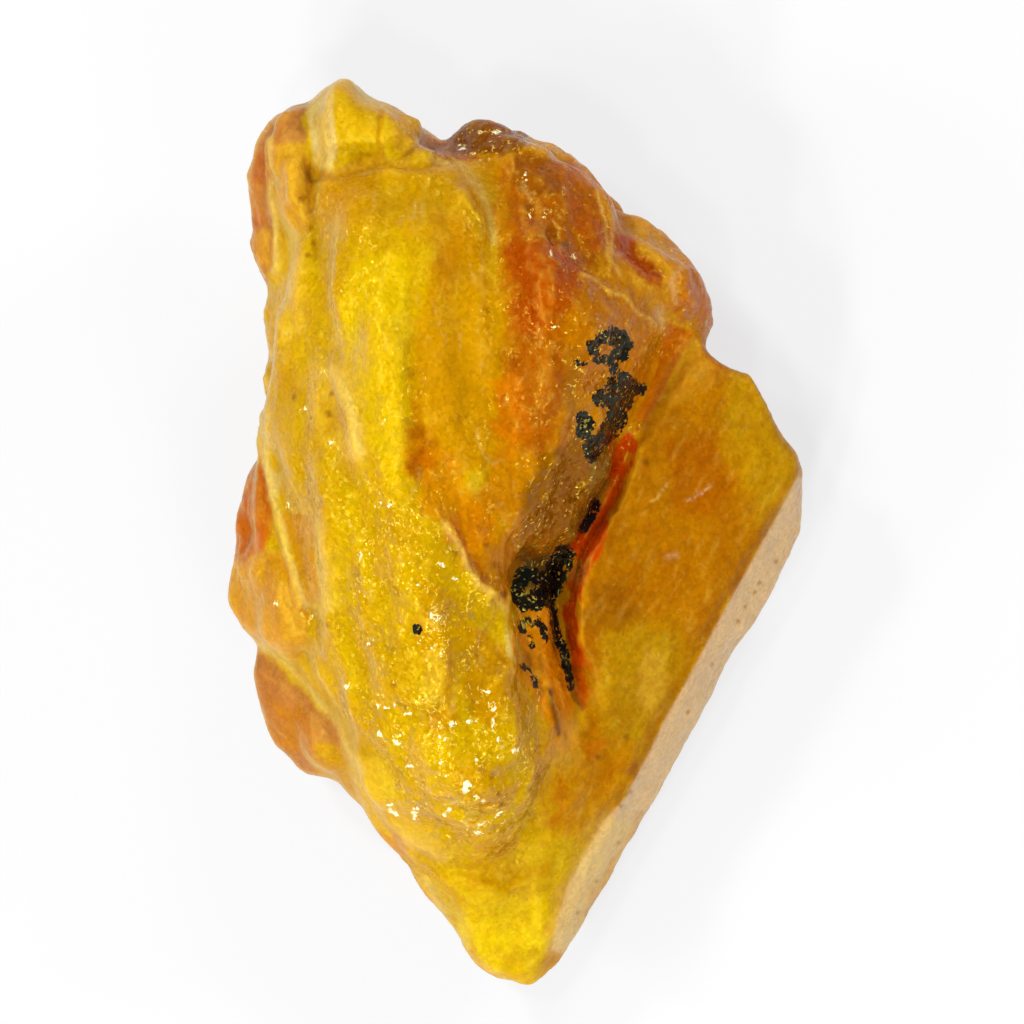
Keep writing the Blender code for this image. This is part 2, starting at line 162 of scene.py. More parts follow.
# The upper end of the cleft and the furrows of the ridge are shallow.
VALLEYS = [
    [(6.6, 9.2), (6.2, 7.8), (5.6, 6.2), (5.0, 4.6), (4.8, 3.6)],
    [(-2.6, 15.3), (-1.3, 14.4), (-0.8, 12.6), (-0.5, 10.4), (-0.4, 8.4)],
    [(-1.9, -3.6), (-1.8, -5.6), (-2.2, -7.6)],
    [(-0.6, -13.6), (0.8, -13.0), (2.0, -12.2)],
    [(0.3, -6.4), (1.1, -7.8), (1.5, -9.6), (1.3, -11.4)],
    [(-3.2, -13.4), (-1.2, -12.6), (0.4, -11.8), (1.1, -10.4)],
]
at += easing(VALLEYS, 0.48, 0.8)

# The shelf runs up to the fold as two planes: (where it is flat, where it is carried on).
FACES = [
    ([(6.8, 5.0), (9.0, 6.4), (10.4, 4.0), (8.0, -1.0), (5.8, 0.6)],
     [(6.9, 7.0), (6.3, 6.3), (5.2, 4.5), (4.8, 3.0), (3.9, 0.7), (5.6, 0.6), (7.2, 3.6), (7.8, 6.4)]),
    ([(5.2, 0.0), (7.2, -1.4), (5.6, -6.0), (4.6, -7.6), (4.2, -4.0)],
     [(3.9, 0.9), (2.9, -0.8), (2.5, -2.4), (2.4, -4.2), (2.8, -6.0), (3.1, -7.6), (4.8, -6.8), (4.8, -3.0),
      (5.6, 0.6)]),
]
flat_terms = np.column_stack([plan, np.ones(len(plan))])
for flat, reach in FACES:
    flat = (area(plan, flat, 0.2) > 0.9) & (normals[:, 2] > 0.7)
    plane, *_ = np.linalg.lstsq(flat_terms[flat], at[flat, 2], rcond=None)
    short = flat_terms @ plane - at[:, 2]
    at[:, 2] += np.maximum(short, 0.0) * area(plan, reach, 0.6) * smooth(normals[:, 2] * 4.0)

# Both ends of the fold run out gently into the shelf.
FOLD_ENDS = [[(6.9, 8.8), (6.5, 7.6), (5.8, 6.2), (5.1, 4.8)], [(2.3, -5.6), (2.6, -6.6), (2.8, -7.8)]]
at += easing(FOLD_ENDS, 0.6, 0.6)

SHELF = [(6.4, 7.6), (8.3, 8.2), (10.6, 7.2), (12.6, 3.0), (12.8, 1.0), (1.8, -19.5), (0.2, -19.2),
         (-3.0, -16.6), (-3.6, -14.4), (-0.2, -14.4), (0.9, -12.4), (1.6, -9.2), (2.6, -6.6), (2.5, -3.6),
         (3.4, -0.2), (4.8, 2.6), (5.4, 5.0)]
SHELF_TOP = 10.4


def on_shelf(at):
    return area(at[:, :2], SHELF, 0.6) * smooth((SHELF_TOP - at[:, 2]) / 0.8)


# How calm the skin is, from 0 where it is chipped all over to 1: (share, edge width, outline).
RIDGE = [(-9.4, 14.6), (-1.2, 15.0), (-0.8, 6.0), (-3.0, 4.0), (-6.0, 2.6), (-9.6, 3.0)]
CALMS = [
    (0.5, 1.6, RIDGE),
    (0.7, 1.2, [(-4.4, 13.2), (-2.6, 13.4), (-1.4, 10.4), (-1.1, 6.0), (-2.4, 4.8), (-4.2, 5.6),
                (-4.6, 8.0)]),
    (0.6, 1.2, [(-11.0, -2.0), (-8.0, -2.4), (-7.2, -5.0), (-4.6, -10.0), (-3.0, -13.0), (-6.0, -13.4),
                (-12.4, -6.0)]),
    (0.85, 0.6, [(-8.8, 18.8), (-6.6, 19.6), (-3.6, 17.2), (-3.8, 15.6), (-8.2, 15.4)]),
    (0.4, 1.2, [(-3.4, -13.6), (2.0, -12.0), (0.6, -19.4), (-2.6, -18.4)]),
]
calm = on_shelf(at) * (0.35 + 0.4 * smooth((normals[:, 2] - 0.6) / 0.3))
for share, edge, outline in CALMS:
    calm = np.maximum(calm, share * area(plan, outline, edge))


def facets(at, size, long):
    """Flat chips at random tilts, one to each cell of this size, drawn out along the stone by long, and
    a number from 0 to 1 for each chip."""
    out, dice = np.empty(len(at)), np.empty(len(at))
    for i, p in enumerate(at):
        q = Vector((p[0] / size, p[1] / (size * long), p[2] / size))
        gaps, spots = noise.voronoi(q)
        tilt = noise.cell_vector(spots[0] * 31.7)
        dice[i] = tilt.x
        flat = (tilt - Vector((0.5, 0.5, 0.5))).dot(q - spots[0])
        border = min(1.0, (gaps[1] - gaps[0]) * 4.0)
        out[i] = (flat * 1.6 + 0.25 - gaps[0] * 0.5) * border
    return out, dice


def waves(at, sizes, seed):
    """Noise between about -1 and 1, with its own length along each axis."""
    shift = Vector((seed * 7.3, seed * 3.1, seed * 5.7))
    return np.array([noise.noise(Vector(p) + shift) for p in at / sizes])


# Long ribs along the ridge, chips of three sizes, and fine growth lines: (size, height), in millimetres.
RIB_SIZE, RIB_HEIGHT = 1.5, 0.1
CHIPS = [(2.6, 0.17), (1.2, 0.12), (0.6, 0.08)]
FINE_HEIGHT = 0.03
rise = RIB_HEIGHT * area(plan, RIDGE, 1.6) * facets(at, RIB_SIZE, 4.0)[0]
for size, height in CHIPS:
    rise += height * facets(at, size, 1.25)[0] * (1.0 - calm)
rise += FINE_HEIGHT * waves(at, (0.5, 3.5, 1.2), 1) * (1.0 - calm)

# Cracks, ledges and thin raised rims: (height, half width, line).
LINES = [
    (-0.12, 0.09, [(-5.5, 17.4), (-5.65, 16.4), (-5.5, 15.4)]),
    (-0.2, 0.25, [(-8.3, 14.8), (-6.9, 14.9), (-5.6, 15.3), (-4.2, 15.1), (-2.8, 15.3)]),
    (0.22, 0.16, [(-10.1, 16.2), (-10.1, 14.0), (-9.9, 13.2), (-9.9, 11.0)]),
    (-0.25, 0.20, [(-8.4, 15.0), (-8.5, 13.4)]),
    (0.25, 0.25, [(-9.2, 15.2), (-9.1, 13.8)]),
    (0.08, 0.12, [(2.6, 10.6), (3.2, 10.5), (3.9, 9.9), (4.4, 9.8), (5.0, 9.1), (5.5, 8.9), (5.8, 8.5)]),
    (0.1, 0.12, [(3.5, 14.2), (4.0, 12.8), (3.8, 11.0)]),
    (0.25, 0.22, [(-10.4, 6.5), (-10.5, 5.5), (-10.2, 4.0), (-10.2, 2.5), (-9.9, 1.2), (-9.7, 0.4),
                  (-9.4, -0.6), (-9.1, -1.8), (-8.9, -2.8)]),
    (0.22, 0.18, [(-2.9, 0.4), (-2.3, -0.5), (-2.1, -1.2), (-1.6, -2.0), (-1.0, -2.3)]),
    (0.20, 0.25, [(-7.4, 6.8), (-6.8, 5.2), (-6.4, 3.4)]),
    (-0.1, 0.25, [(-5.3, -12.4), (-4.1, -13.3), (-3.3, -13.6), (-1.5, -14.2), (-0.5, -14.5),
                  (0.2, -13.8)]),
    (-0.05, 0.20, [(10.7, 0.6), (8.8, -2.4), (6.9, -5.9), (4.7, -10.0), (3.6, -11.9), (2.6, -13.8),
                   (1.2, -16.6)]),
    (0.20, 0.30, [(-2.2, 14.0), (-1.6, 13.0), (-1.5, 12.2)]),
    (-0.22, 0.20, [(0.5, 13.6), (0.6, 13.0)]),
    (-0.22, 0.18, [(1.4, 12.4), (1.6, 12.0)]),
    (-0.2, 0.3, [(1.7, -2.8), (1.9, -4.4), (2.1, -5.4)]),
]
for height, width, line in LINES:
    rise += height * np.exp(-((line_gap(plan, line) / width) ** 2)) * smooth(normals[:, 2] * 2.5)
BASE_MARGIN = 1.2
at += normals * (rise * smooth(at[:, 2] / BASE_MARGIN))[:, None]

# The outline draws in a little at the knob, the lobe and the shelf's top corner: (reach, shift, line).
PULLS = [
    (0.8, (-0.3, -0.4), [(-5.6, 18.7), (-4.2, 17.9)]),
    (1.6, (0.0, -0.5), [(5.2, 12.6), (7.4, 11.6), (8.4, 10.0)]),
    (1.0, (-0.25, -0.25), [(9.4, 7.2), (10.6, 6.0), (11.4, 4.4)]),
]
for reach, shift, line in PULLS:
    at[:, :2] += np.exp(-((line_gap(plan, line) / reach) ** 2))[:, None] * shift

# The skin is fitted to the solid's own box.
low, high = at.min(axis=0), at.max(axis=0)
box_low, box_high = np.array(cad_box) * TO_MM
at = box_low + (at - low) * (box_high - box_low) / (high - low)
mesh.vertices.foreach_set("co", (at * TO_METRES).ravel())
mesh.update()

# The underside is thinned, because its relief needs fewer faces.
TRIANGLES = 192000
LEVELS = 10
mesh.materials.clear()
blank = bpy.data.objects.new("blank", mesh)
bpy.context.scene.collection.objects.link(blank)
under = blank.vertex_groups.new(name="under")
hidden = smooth(0.5 - 2.0 * np.array([v.normal[2] for v in mesh.vertices])) * 0.9 + 0.01
for level in range(LEVELS + 1):
    chosen = np.flatnonzero(np.round(hidden * LEVELS) == level)
    under.add(chosen.tolist(), level / LEVELS, "REPLACE")
thin = blank.modifiers.new("thin", "DECIMATE")
thin.ratio = TRIANGLES / sum(len(f.vertices) - 2 for f in mesh.polygons)
thin.vertex_group = "under"
thin.vertex_group_factor = 100.0
mesh = bpy.data.meshes.new_from_object(blank.evaluated_get(bpy.context.evaluated_depsgraph_get()))
bpy.data.objects.remove(blank)
for face in mesh.polygons:
    face.use_smooth = True
stone = bpy.data.objects.new("rough_sapphire", mesh)
bpy.context.scene.collection.objects.link(stone)

# The stone's colour. Iron and titanium stain corundum in zones, so one lump goes from clear yellow
# through amber to red-orange, with brown and pink skin where it weathered and black mineral in the fold.
at, plan, normals = read(mesh)
ends, counts = net(mesh)
shelf = on_shelf(at)[:, None]

# Tones are on a screen's scale, 0 to 255. DEPTH darkens them all for the light that they are seen in.
TONES = {
    "yellow": (215, 172, 4), "bright": (232, 197, 8), "gold": (210, 157, 4), "amber": (210, 148, 2),
    "honey": (200, 128, 2), "orange": (178, 95, 2), "caramel": (196, 120, 6), "fire": (222, 118, 2),
    "ember": (180, 74, 2), "rust": (196, 88, 2), "red": (208, 72, 4), "brick": (138, 76, 18),
    "brown": (140, 78, 16), "rose": (198, 104, 20), "pink": (194, 126, 58), "sand": (222, 184, 128),
    "straw": (246, 206, 104), "cream": (232, 204, 116), "pale": (236, 196, 44), "tan": (218, 160, 40),
    "olive": (156, 98, 4), "khaki": (142, 100, 38), "slate": (84, 70, 40), "mustard": (187, 119, 4),
    "moss": (193, 146, 16), "lemon": (214, 166, 44), "flame": (236, 146, 6), "maroon": (104, 44, 20),
    "bone": (231, 192, 138),
}
DEPTH = 0.47


def linear(tone):
    return (np.array(TONES[tone]) / 255.0) ** 2.2 * DEPTH


colour = np.tile(linear("amber"), (len(at), 1))


def blend(tone, share):
    """Brings the colour nearer to a tone, by a share for each vertex."""
    goal = linear(tone) if isinstance(tone, str) else tone
    colour[:] += share.reshape(-1, 1) * (goal - colour)


# Zones of colour: (tone, strength, edge width, outline). A sharp edge doesn't wander, a soft one does.
PATCHES = [
    # The ridge, clear yellow to gold and amber.
    ("yellow", 1.0, 0.9, [(-14, 20), (-3.9, 20), (-3.8, 16.2), (-2.6, 15.6), (-1.6, 15.0), (-0.9, 13.8),
                          (-0.8, 12), (-0.5, 10), (-0.4, 8), (-0.6, 6.6), (-1.0, 5), (-1.0, 3.2),
                          (-1.4, 1.6), (-2.9, 0.4), (-2.3, -1), (-1.5, -2), (-0.6, -2.6), (0, -3.5),
                          (0, -5), (-0.2, -6.5), (1.2, -7.4), (1.4, -9.2), (0.9, -10.5), (1.0, -12),
                          (2.6, -12.8), (3.4, -12), (1.6, -16.6), (0.6, -20), (-14, -20)]),
    ("gold", 0.9, 1.0, [(-8.0, 15), (-4.4, 15.2), (-2.5, 15.3), (-1.3, 14), (-1.0, 12), (-2.2, 11.8),
                        (-4.5, 12.3), (-6.0, 12.6), (-8.0, 13)]),
    ("amber", 0.9, 1.1, [(-3.2, 13.2), (-2.0, 13), (-1.0, 11.5), (-0.5, 9.5), (-0.4, 7), (-0.9, 5),
                         (-1.0, 2.6), (-2.8, 2.8), (-3.6, 4.2), (-4.2, 5.5), (-4.4, 8), (-3.6, 10)]),
    ("honey", 0.5, 0.9, [(-2.8, 12.6), (-2.1, 12.4), (-2.3, 10.5), (-2.8, 9.8), (-3.3, 11)]),
    ("bright", 0.7, 1.0, [(-6.2, 11.6), (-4.6, 11.4), (-4.3, 9), (-4.4, 6), (-4.4, 3), (-4.9, 2.2),
                          (-5.8, 3), (-6.0, 5.5), (-7.2, 7.0), (-7.4, 9.5)]),
    ("pale", 0.8, 0.6, [(-9.9, 11.4), (-9.2, 12.6), (-8.7, 11), (-8.6, 9), (-9.2, 7.6), (-9.9, 8)]),
    ("cream", 0.7, 0.5, [(-10.8, 7.0), (-10.1, 6.6), (-10.1, 3.6), (-9.8, 1.6), (-10.4, 1.6),
                         (-10.9, 4.0)]),
    ("pale", 0.7, 0.9, [(-8.6, 7.2), (-7.4, 7.4), (-6.4, 5.6), (-6.2, 3.2), (-7.2, 3.0), (-8.6, 5.0)]),
    ("gold", 0.8, 0.5, [(-9.8, 6.8), (-9.0, 7.0), (-8.8, 6.0), (-9.6, 5.4)]),
    ("gold", 0.7, 0.6, [(-8.0, 5.3), (-7.2, 5.4), (-6.9, 4.4), (-7.8, 4.2)]),
    ("amber", 0.6, 0.8, [(-8.0, 14.6), (-6.9, 14.7), (-6.6, 13.9), (-7.8, 13.6)]),
    ("fire", 0.55, 1.0, [(-4.4, 4.4), (-3.6, 4.5), (-3.0, 3.5), (-2.4, 3.0), (-1.9, 1.8), (-1.2, 1.1),
                         (-0.8, 0.6), (-0.9, -0.3), (-1.6, -0.6), (-2.2, -0.9), (-2.8, 0.3), (-3.8, 0.9),
                         (-4.0, 1.8), (-4.4, 2.6)]),
    ("honey", 0.7, 0.2, [(-4.3, 5.6), (-4.2, 4.2), (-4.35, 2.3), (-3.9, 2.6), (-3.5, 4.0), (-3.9, 5.4)]),
    ("rust", 0.5, 0.5, [(-4.4, 3.0), (-3.7, 3.6), (-3.3, 3.2), (-3.6, 2.7), (-4.3, 2.5)]),
    # The dome, orange with redder patches, and the fold below it.
    ("honey", 1.0, 0.8, [(-0.9, 15.2), (-0.8, 12), (-0.5, 9), (-0.4, 7), (-0.9, 5), (-1.0, 2.5),
                         (-1.6, 1.6), (-1.2, 0.8), (0, 0.5), (1.5, 2.4), (3.2, 3.4), (4.8, 4.6),
                         (6.0, 6.4), (6.1, 8.8), (4.6, 11.6), (4.3, 13.4), (2.6, 15.2), (0, 15.8)]),
    ("orange", 1.0, 0.9, [(-0.6, 15.2), (-0.3, 12.6), (0.0, 8.6), (-0.2, 6.2), (0.2, 3.6), (1.0, 3.0),
                          (1.8, 5.0), (2.2, 7.6), (2.4, 10.4), (4.2, 12.2), (3.6, 14), (2.4, 15.4),
                          (0.2, 15.6)]),
    ("caramel", 1.0, 0.8, [(2.3, 10.4), (3.6, 10.5), (5.6, 8.6), (5.8, 6.8), (4.8, 5.4), (3.2, 5.6),
                           (2.0, 6.6), (1.9, 8.4)]),
    ("ember", 0.8, 0.8, [(-0.3, 12.0), (0.9, 12.0), (2.3, 11.6), (2.6, 10.2), (2.0, 9.0), (1.4, 8.3),
                         (-0.3, 8.4)]),
    ("ember", 0.5, 0.8, [(2.3, 14.2), (3.2, 13.4), (3.8, 12.0), (3.2, 11.6), (2.4, 12.6)]),
    ("fire", 0.6, 0.8, [(-0.9, 6.4), (0.2, 6.6), (0.6, 4.6), (-0.1, 3.2), (-0.7, 4.0)]),
    ("brown", 0.5, 0.7, [(0.0, 15.8), (1.6, 15.4), (2.0, 14.2), (0.8, 13.7), (-0.2, 14.6)]),
    ("olive", 1.0, 0.8, [(0.3, 1.6), (0.9, 3.2), (2.2, 4.2), (3.4, 4.3), (4.1, 3.8), (3.9, 2.4),
                         (3.2, 1.2), (2.2, -0.4), (1.4, -1.6), (0.8, -2.2), (0.0, -1.9), (0.1, -0.4)]),
    ("khaki", 0.9, 0.4, [(3.1, 3.5), (4.0, 3.7), (3.9, 2.2), (3.2, 1.0), (2.6, 0.0), (1.9, -0.9),
                         (2.2, 0.4), (3.0, 1.9)]),
    ("slate", 0.8, 0.4, [(0.2, -0.9), (1.2, -0.6), (1.6, -1.2), (1.2, -2.0), (0.5, -2.4), (0.1, -1.8)]),
    ("brown", 1.0, 0.4, [(-0.3, -0.6), (0.2, -0.5), (0.3, -1.9), (-0.1, -2.2), (-0.4, -1.6)]),
    ("red", 1.0, 0.35, [(5.0, 4.6), (4.7, 3.0), (4.4, 1.6), (3.9, 0.8), (3.6, -0.6), (2.9, -1.3),
                        (2.2, -0.5), (3.2, 0.8), (3.9, 2.2), (4.0, 3.6)]),
    ("red", 1.0, 0.3, [(2.2, -1.4), (3.0, -1.2), (2.6, -2.6), (2.6, -4.2), (3.1, -6.0), (3.1, -7.2),
                       (2.7, -7.0), (2.3, -5.4), (2.0, -3.6)]),
    ("rust", 0.8, 0.3, [(2.4, -5.2), (3.2, -5.2), (3.3, -7.3), (2.6, -7.3)]),
    ("pink", 0.7, 0.4, [(2.2, -1.2), (2.8, -1.2), (2.7, -2.0), (2.2, -2.2)]),
    # The shelf.
    ("mustard", 1.0, 0.4, [(5.2, 4.6), (6.3, 6.3), (7.4, 7.4), (8.6, 8.0), (10.4, 7.0), (11.8, 3.4),
                           (11.6, 2.3), (10.3, 0.0), (7.7, -4.7), (5.0, -10.0), (3.0, -10.6), (2.8, -8.2),
                           (3.1, -6.6), (2.6, -3.5), (3.8, 0.6), (4.8, 2.6)]),
    ("tan", 0.35, 1.0, [(7.0, 8.6), (8.4, 8.2), (8.8, 6.6), (6.8, 5.4), (5.8, 5.4), (6.6, 7.2)]),
    ("orange", 0.6, 0.8, [(7.2, 8.6), (8.6, 8.2), (9.2, 6.6), (8.6, 5.6), (8.0, 7.2)]),
    ("rust", 0.75, 0.2, [(6.1, 8.8), (7.4, 8.4), (6.6, 7.0), (5.8, 5.4), (5.1, 4.4), (4.9, 4.8),
                         (5.4, 5.8), (5.9, 7.0)]),
    ("orange", 0.6, 1.2, [(6.2, 3.8), (8.4, 4.2), (9.2, 2.2), (8.4, 0.6), (6.6, 1.2)]),
    ("moss", 0.9, 2.2, [(8.9, 7.0), (10.2, 6.8), (11.2, 5.0), (12.0, 3.0), (11.4, 1.8), (10.0, 0.6),
                        (9.2, 2.6), (8.6, 5.0)]),
    ("brown", 0.5, 1.0, [(2.8, -2.2), (4.2, -1.8), (5.2, -3.0), (4.6, -3.9), (3.0, -3.9)]),
    ("moss", 0.9, 2.0, [(3.6, -3.8), (6.4, -3.6), (7.4, -4.8), (5.2, -9.2), (3.8, -9.0), (3.4, -6.5)]),
    ("lemon", 0.7, 0.6, [(5.2, -4.8), (6.3, -4.8), (6.4, -6.0), (5.6, -7.6), (5.1, -6.8)]),
    ("honey", 0.5, 0.9, [(3.2, -8.4), (5.0, -8.6), (4.4, -10.6), (3.4, -11.6), (2.8, -10.0)]),
    # The rib in the fold, and where it runs out.
    ("flame", 1.0, 0.5, [(0.1, -2.9), (1.6, -2.9), (2.0, -4.8), (2.5, -7.2), (2.7, -8.8), (1.9, -9.2),
                         (1.2, -7.4), (0.2, -6.6), (0.0, -5.0)]),
    ("honey", 0.3, 0.7, [(1.0, -9.2), (3.2, -9.2), (3.4, -11.0), (1.8, -12.2), (0.9, -12.0)]),
    ("tan", 0.6, 0.6, [(1.7, -7.4), (2.6, -7.6), (2.8, -9.2), (2.2, -10.2), (1.5, -9.4)]),
    ("rust", 0.4, 0.4, [(3.1, -8.4), (3.9, -8.3), (3.5, -9.4), (3.0, -9.6)]),
    ("fire", 0.3, 0.6, [(1.2, -10.0), (1.9, -9.9), (2.1, -11.2), (1.5, -12.1), (1.1, -11.6)]),
    ("honey", 0.9, 0.7, [(-2.2, -0.8), (-0.9, -0.2), (0.1, 0.6), (0.2, -2.0), (-0.5, -2.5), (-1.4, -2.0)]),
    ("orange", 0.8, 0.4, [(-2.4, -0.6), (-1.6, -0.8), (-1.1, -1.9), (-1.7, -2.0)]),
    # The narrow face beside the shelf.
    ("bone", 1.0, 0.14, [(11.7, 2.4), (13.4, 2.6), (13.4, -1.0), (5.8, -12.6), (4.9, -11.9), (4.7, -10.7),
                         (5.5, -9.2), (6.2, -7.7), (7.0, -6.3), (7.8, -4.8), (8.6, -3.3), (9.4, -1.9),
                         (10.2, -0.4), (11.0, 1.0)]),
    ("bone", 1.0, 0.16, [(4.8, -10.7), (5.8, -11.2), (4.4, -14.0), (2.2, -17.6), (1.5, -17.4),
                         (1.7, -16.2), (2.1, -14.8), (2.7, -13.6), (3.7, -11.9)]),
    ("straw", 0.5, 1.2, [(3.4, -11.4), (5.6, -12.4), (2.4, -18.0), (1.2, -17.4), (1.6, -15.6)]),
    ("honey", 0.5, 0.8, [(5.3, -11.8), (6.0, -12.0), (3.6, -16.4), (2.9, -15.8), (3.9, -13.9)]),
    # The knob, and the pink skin to the left of it.
    ("yellow", 0.9, 0.4, [(-8.0, 18.4), (-7.3, 19.2), (-5.8, 18.8), (-4.0, 17.2), (-3.8, 15.8),
                          (-5.0, 15.4), (-7.0, 15.4), (-7.7, 15.6)]),
    ("bright", 0.6, 0.5, [(-6.9, 16.6), (-5.7, 16.4), (-5.7, 15.6), (-7.0, 15.6)]),
    ("cream", 1.0, 0.2, [(-8.7, 17.8), (-8.1, 18.8), (-7.4, 18.9), (-7.5, 17.4), (-7.3, 15.9),
                         (-7.6, 14.8), (-8.3, 15.2), (-8.4, 16.4)]),
    ("tan", 0.6, 0.4, [(-5.3, 17.4), (-4.0, 17.0), (-3.8, 15.8), (-4.6, 15.6), (-5.2, 16.2)]),
    ("pink", 1.0, 0.4, [(-11.4, 16.6), (-9.8, 18.2), (-8.6, 18.2), (-8.7, 16.2), (-9.7, 16.0),
                        (-10.0, 15.0), (-9.9, 13.0), (-9.9, 11.4), (-10.4, 10.4), (-11.6, 11.6)]),
    ("tan", 0.8, 0.5, [(-9.9, 16.0), (-8.6, 16.2), (-8.3, 14.0), (-8.4, 12.4), (-9.2, 12.6),
                       (-9.8, 13.6)]),
    ("rust", 0.5, 0.5, [(-10.9, 15.8), (-10.3, 15.6), (-10.3, 14.4), (-10.9, 14.2)]),
    ("rust", 0.6, 0.5, [(-11.1, 13.6), (-10.6, 13.6), (-10.5, 12.6), (-11.1, 12.4)]),
    ("tan", 0.8, 0.5, [(-10.9, 12.6), (-10.1, 12.4), (-10.0, 11.2), (-10.8, 11.2)]),
    # The dome's top edge and its lobe.
    ("orange", 0.9, 0.4, [(-3.9, 16.6), (-3.0, 16.2), (-1.9, 15.9), (-1.3, 15.2), (-2.4, 15.4),
                          (-3.8, 15.7)]),
    ("brick", 1.0, 0.4, [(-3.0, 17.4), (0.7, 17.2), (0.5, 16.2), (0.2, 15.8), (-1.2, 15.6), (-2.0, 15.8),
                         (-2.8, 16.0)]),
    ("tan", 0.7, 0.4, [(0.5, 16.9), (1.6, 16.6), (2.6, 15.8), (2.3, 15.4), (1.4, 15.9), (0.6, 16.1)]),
    ("rose", 0.4, 0.6, [(2.2, 15.7), (3.4, 15.2), (4.5, 13.6), (3.9, 13.2), (3.0, 14.2), (2.2, 14.8)]),
    ("caramel", 1.0, 0.6, [(4.2, 13.6), (5.2, 13.8), (6.4, 12.8), (8.6, 10.0), (8.3, 8.4), (6.8, 8.8),
                           (5.6, 9.6), (4.2, 11.4)]),
    ("tan", 0.5, 0.8, [(4.4, 13.2), (6.4, 12.6), (7.4, 11.4), (7.0, 10.2), (5.6, 9.2), (4.8, 10.4)]),
    ("tan", 0.5, 0.6, [(4.6, 13.5), (5.6, 13.3), (6.4, 12.4), (6.0, 11.6), (5.0, 12.2)]),
    ("ember", 1.0, 0.4, [(4.0, 12.6), (4.7, 12.2), (5.9, 10.9), (6.0, 10.2), (5.1, 10.6), (4.3, 11.5)]),
    ("rose", 0.5, 0.6, [(6.7, 11.3), (7.7, 11.0), (8.5, 9.4), (7.4, 9.0), (6.6, 10.0)]),
    # The lobes on the left side.
    ("rose", 1.0, 0.5, [(-11.0, 3.8), (-10.4, 2.6), (-10.1, 0.6), (-10.3, -0.8), (-12.4, -1.8),
                        (-12.4, 2.0)]),
    ("fire", 0.7, 0.5, [(-11.0, 0.1), (-10.3, 0.1), (-10.2, -0.7), (-10.9, -0.8)]),
    ("tan", 1.0, 0.5, [(-12.6, -1.4), (-10.8, -0.8), (-9.6, -0.6), (-8.9, -2.2), (-8.4, -3.4),
                       (-9.0, -5.2), (-11.4, -4.8), (-12.6, -3.0)]),
    ("amber", 0.9, 0.6, [(-10.4, -0.8), (-9.4, -0.8), (-9.2, -2.2), (-10.2, -2.0)]),
    ("pink", 1.0, 0.5, [(-11.8, -4.6), (-10.0, -5.3), (-8.6, -6.8), (-7.4, -8.0), (-6.9, -9.4),
                        (-6.2, -11.8), (-9.0, -10.6), (-11.8, -7.6)]),
    ("honey", 0.8, 0.9, [(-10.4, -7.0), (-9.0, -7.2), (-8.4, -8.4), (-9.0, -9.2), (-10.0, -8.8)]),
    ("gold", 0.9, 0.6, [(-8.6, -9.0), (-7.4, -8.6), (-6.6, -10.4), (-6.6, -11.6), (-8.2, -10.4)]),
    # The lower ridge and its flanks.
    ("amber", 1.0, 0.2, [(-9.8, 1.0), (-8.3, 0.8), (-8.2, -1.0), (-8.0, -2.8), (-8.8, -2.8),
                         (-9.2, -0.8)]),
    ("pale", 0.7, 0.5, [(-8.1, -0.4), (-7.4, -0.4), (-7.0, -3.0), (-8.0, -3.0)]),
    ("pale", 0.8, 0.7, [(-7.0, -9.0), (-5.6, -9.2), (-4.4, -11.4), (-3.2, -13.2), (-4.6, -13.0),
                        (-6.6, -11.4)]),
    ("bright", 0.3, 1.4, [(-5.6, -7.8), (-2.4, -8.6), (-0.8, -11.2), (-1.2, -13.4), (-3.6, -13.2),
                          (-5.2, -10.6)]),
    ("gold", 0.8, 0.6, [(-0.4, -5.2), (0.5, -5.8), (1.3, -8.0), (1.7, -10.0), (1.4, -12.0), (0.2, -13.2),
                        (-1.6, -13.4), (-1.4, -12.8), (0.2, -12.4), (0.9, -11.0), (0.7, -8.8),
                        (-0.2, -6.8)]),
    ("honey", 0.6, 0.6, [(-3.8, -7.0), (-2.5, -7.1), (-2.4, -8.0), (-3.4, -8.1)]),
    ("gold", 0.8, 0.8, [(-2.6, -9.4), (-0.4, -9.4), (-0.2, -11.0), (-1.2, -11.4), (-2.2, -10.6)]),
    ("gold", 0.8, 1.0, [(-4.0, -2.2), (-1.9, -2.4), (-1.6, -6.6), (-3.0, -7.0), (-4.2, -5.0)]),
    ("pale", 0.6, 0.5, [(-3.9, -4.6), (-3.1, -4.4), (-3.0, -6.6), (-3.8, -6.9)]),
    ("amber", 0.8, 0.7, [(-1.9, -3.8), (-0.4, -4.4), (-0.2, -6.8), (-1.0, -8.0), (-1.8, -7.2)]),
    ("cream", 0.7, 0.25, [(-0.3, -3.6), (0.0, -3.9), (0.0, -5.4), (-0.4, -5.0)]),
    ("brown", 0.5, 0.4, [(-1.1, -4.4), (-0.6, -4.8), (-0.5, -5.8), (-1.0, -5.6)]),
    # The toe.
    ("bright", 0.9, 1.2, [(-2.2, -14.6), (0.2, -15.2), (1.4, -15.0), (1.4, -17.0), (0.6, -19.0),
                          (-1.2, -18.2), (-2.4, -16.4)]),
    ("gold", 0.7, 0.7, [(-2.2, -13.6), (0.2, -13.4), (1.4, -14.2), (-0.2, -14.8), (-2.0, -14.6)]),
    ("tan", 0.9, 0.4, [(-5.8, -12.3), (-4.9, -12.4), (-4.4, -13.4), (-5.2, -13.8)]),
]
wander = np.stack([waves(at, (0.9, 0.9, 0.9), 2) + 0.4 * waves(at, (0.3, 0.3, 0.3), 6),
                   waves(at, (0.9, 0.9, 0.9), 3) + 0.4 * waves(at, (0.3, 0.3, 0.3), 7)], axis=1)
ZONE_WANDER, LINE_WANDER, PAINTED_GLINT_WANDER = 0.35, 0.08, 0.06
SHARP = 0.2
warped = plan + ZONE_WANDER * wander
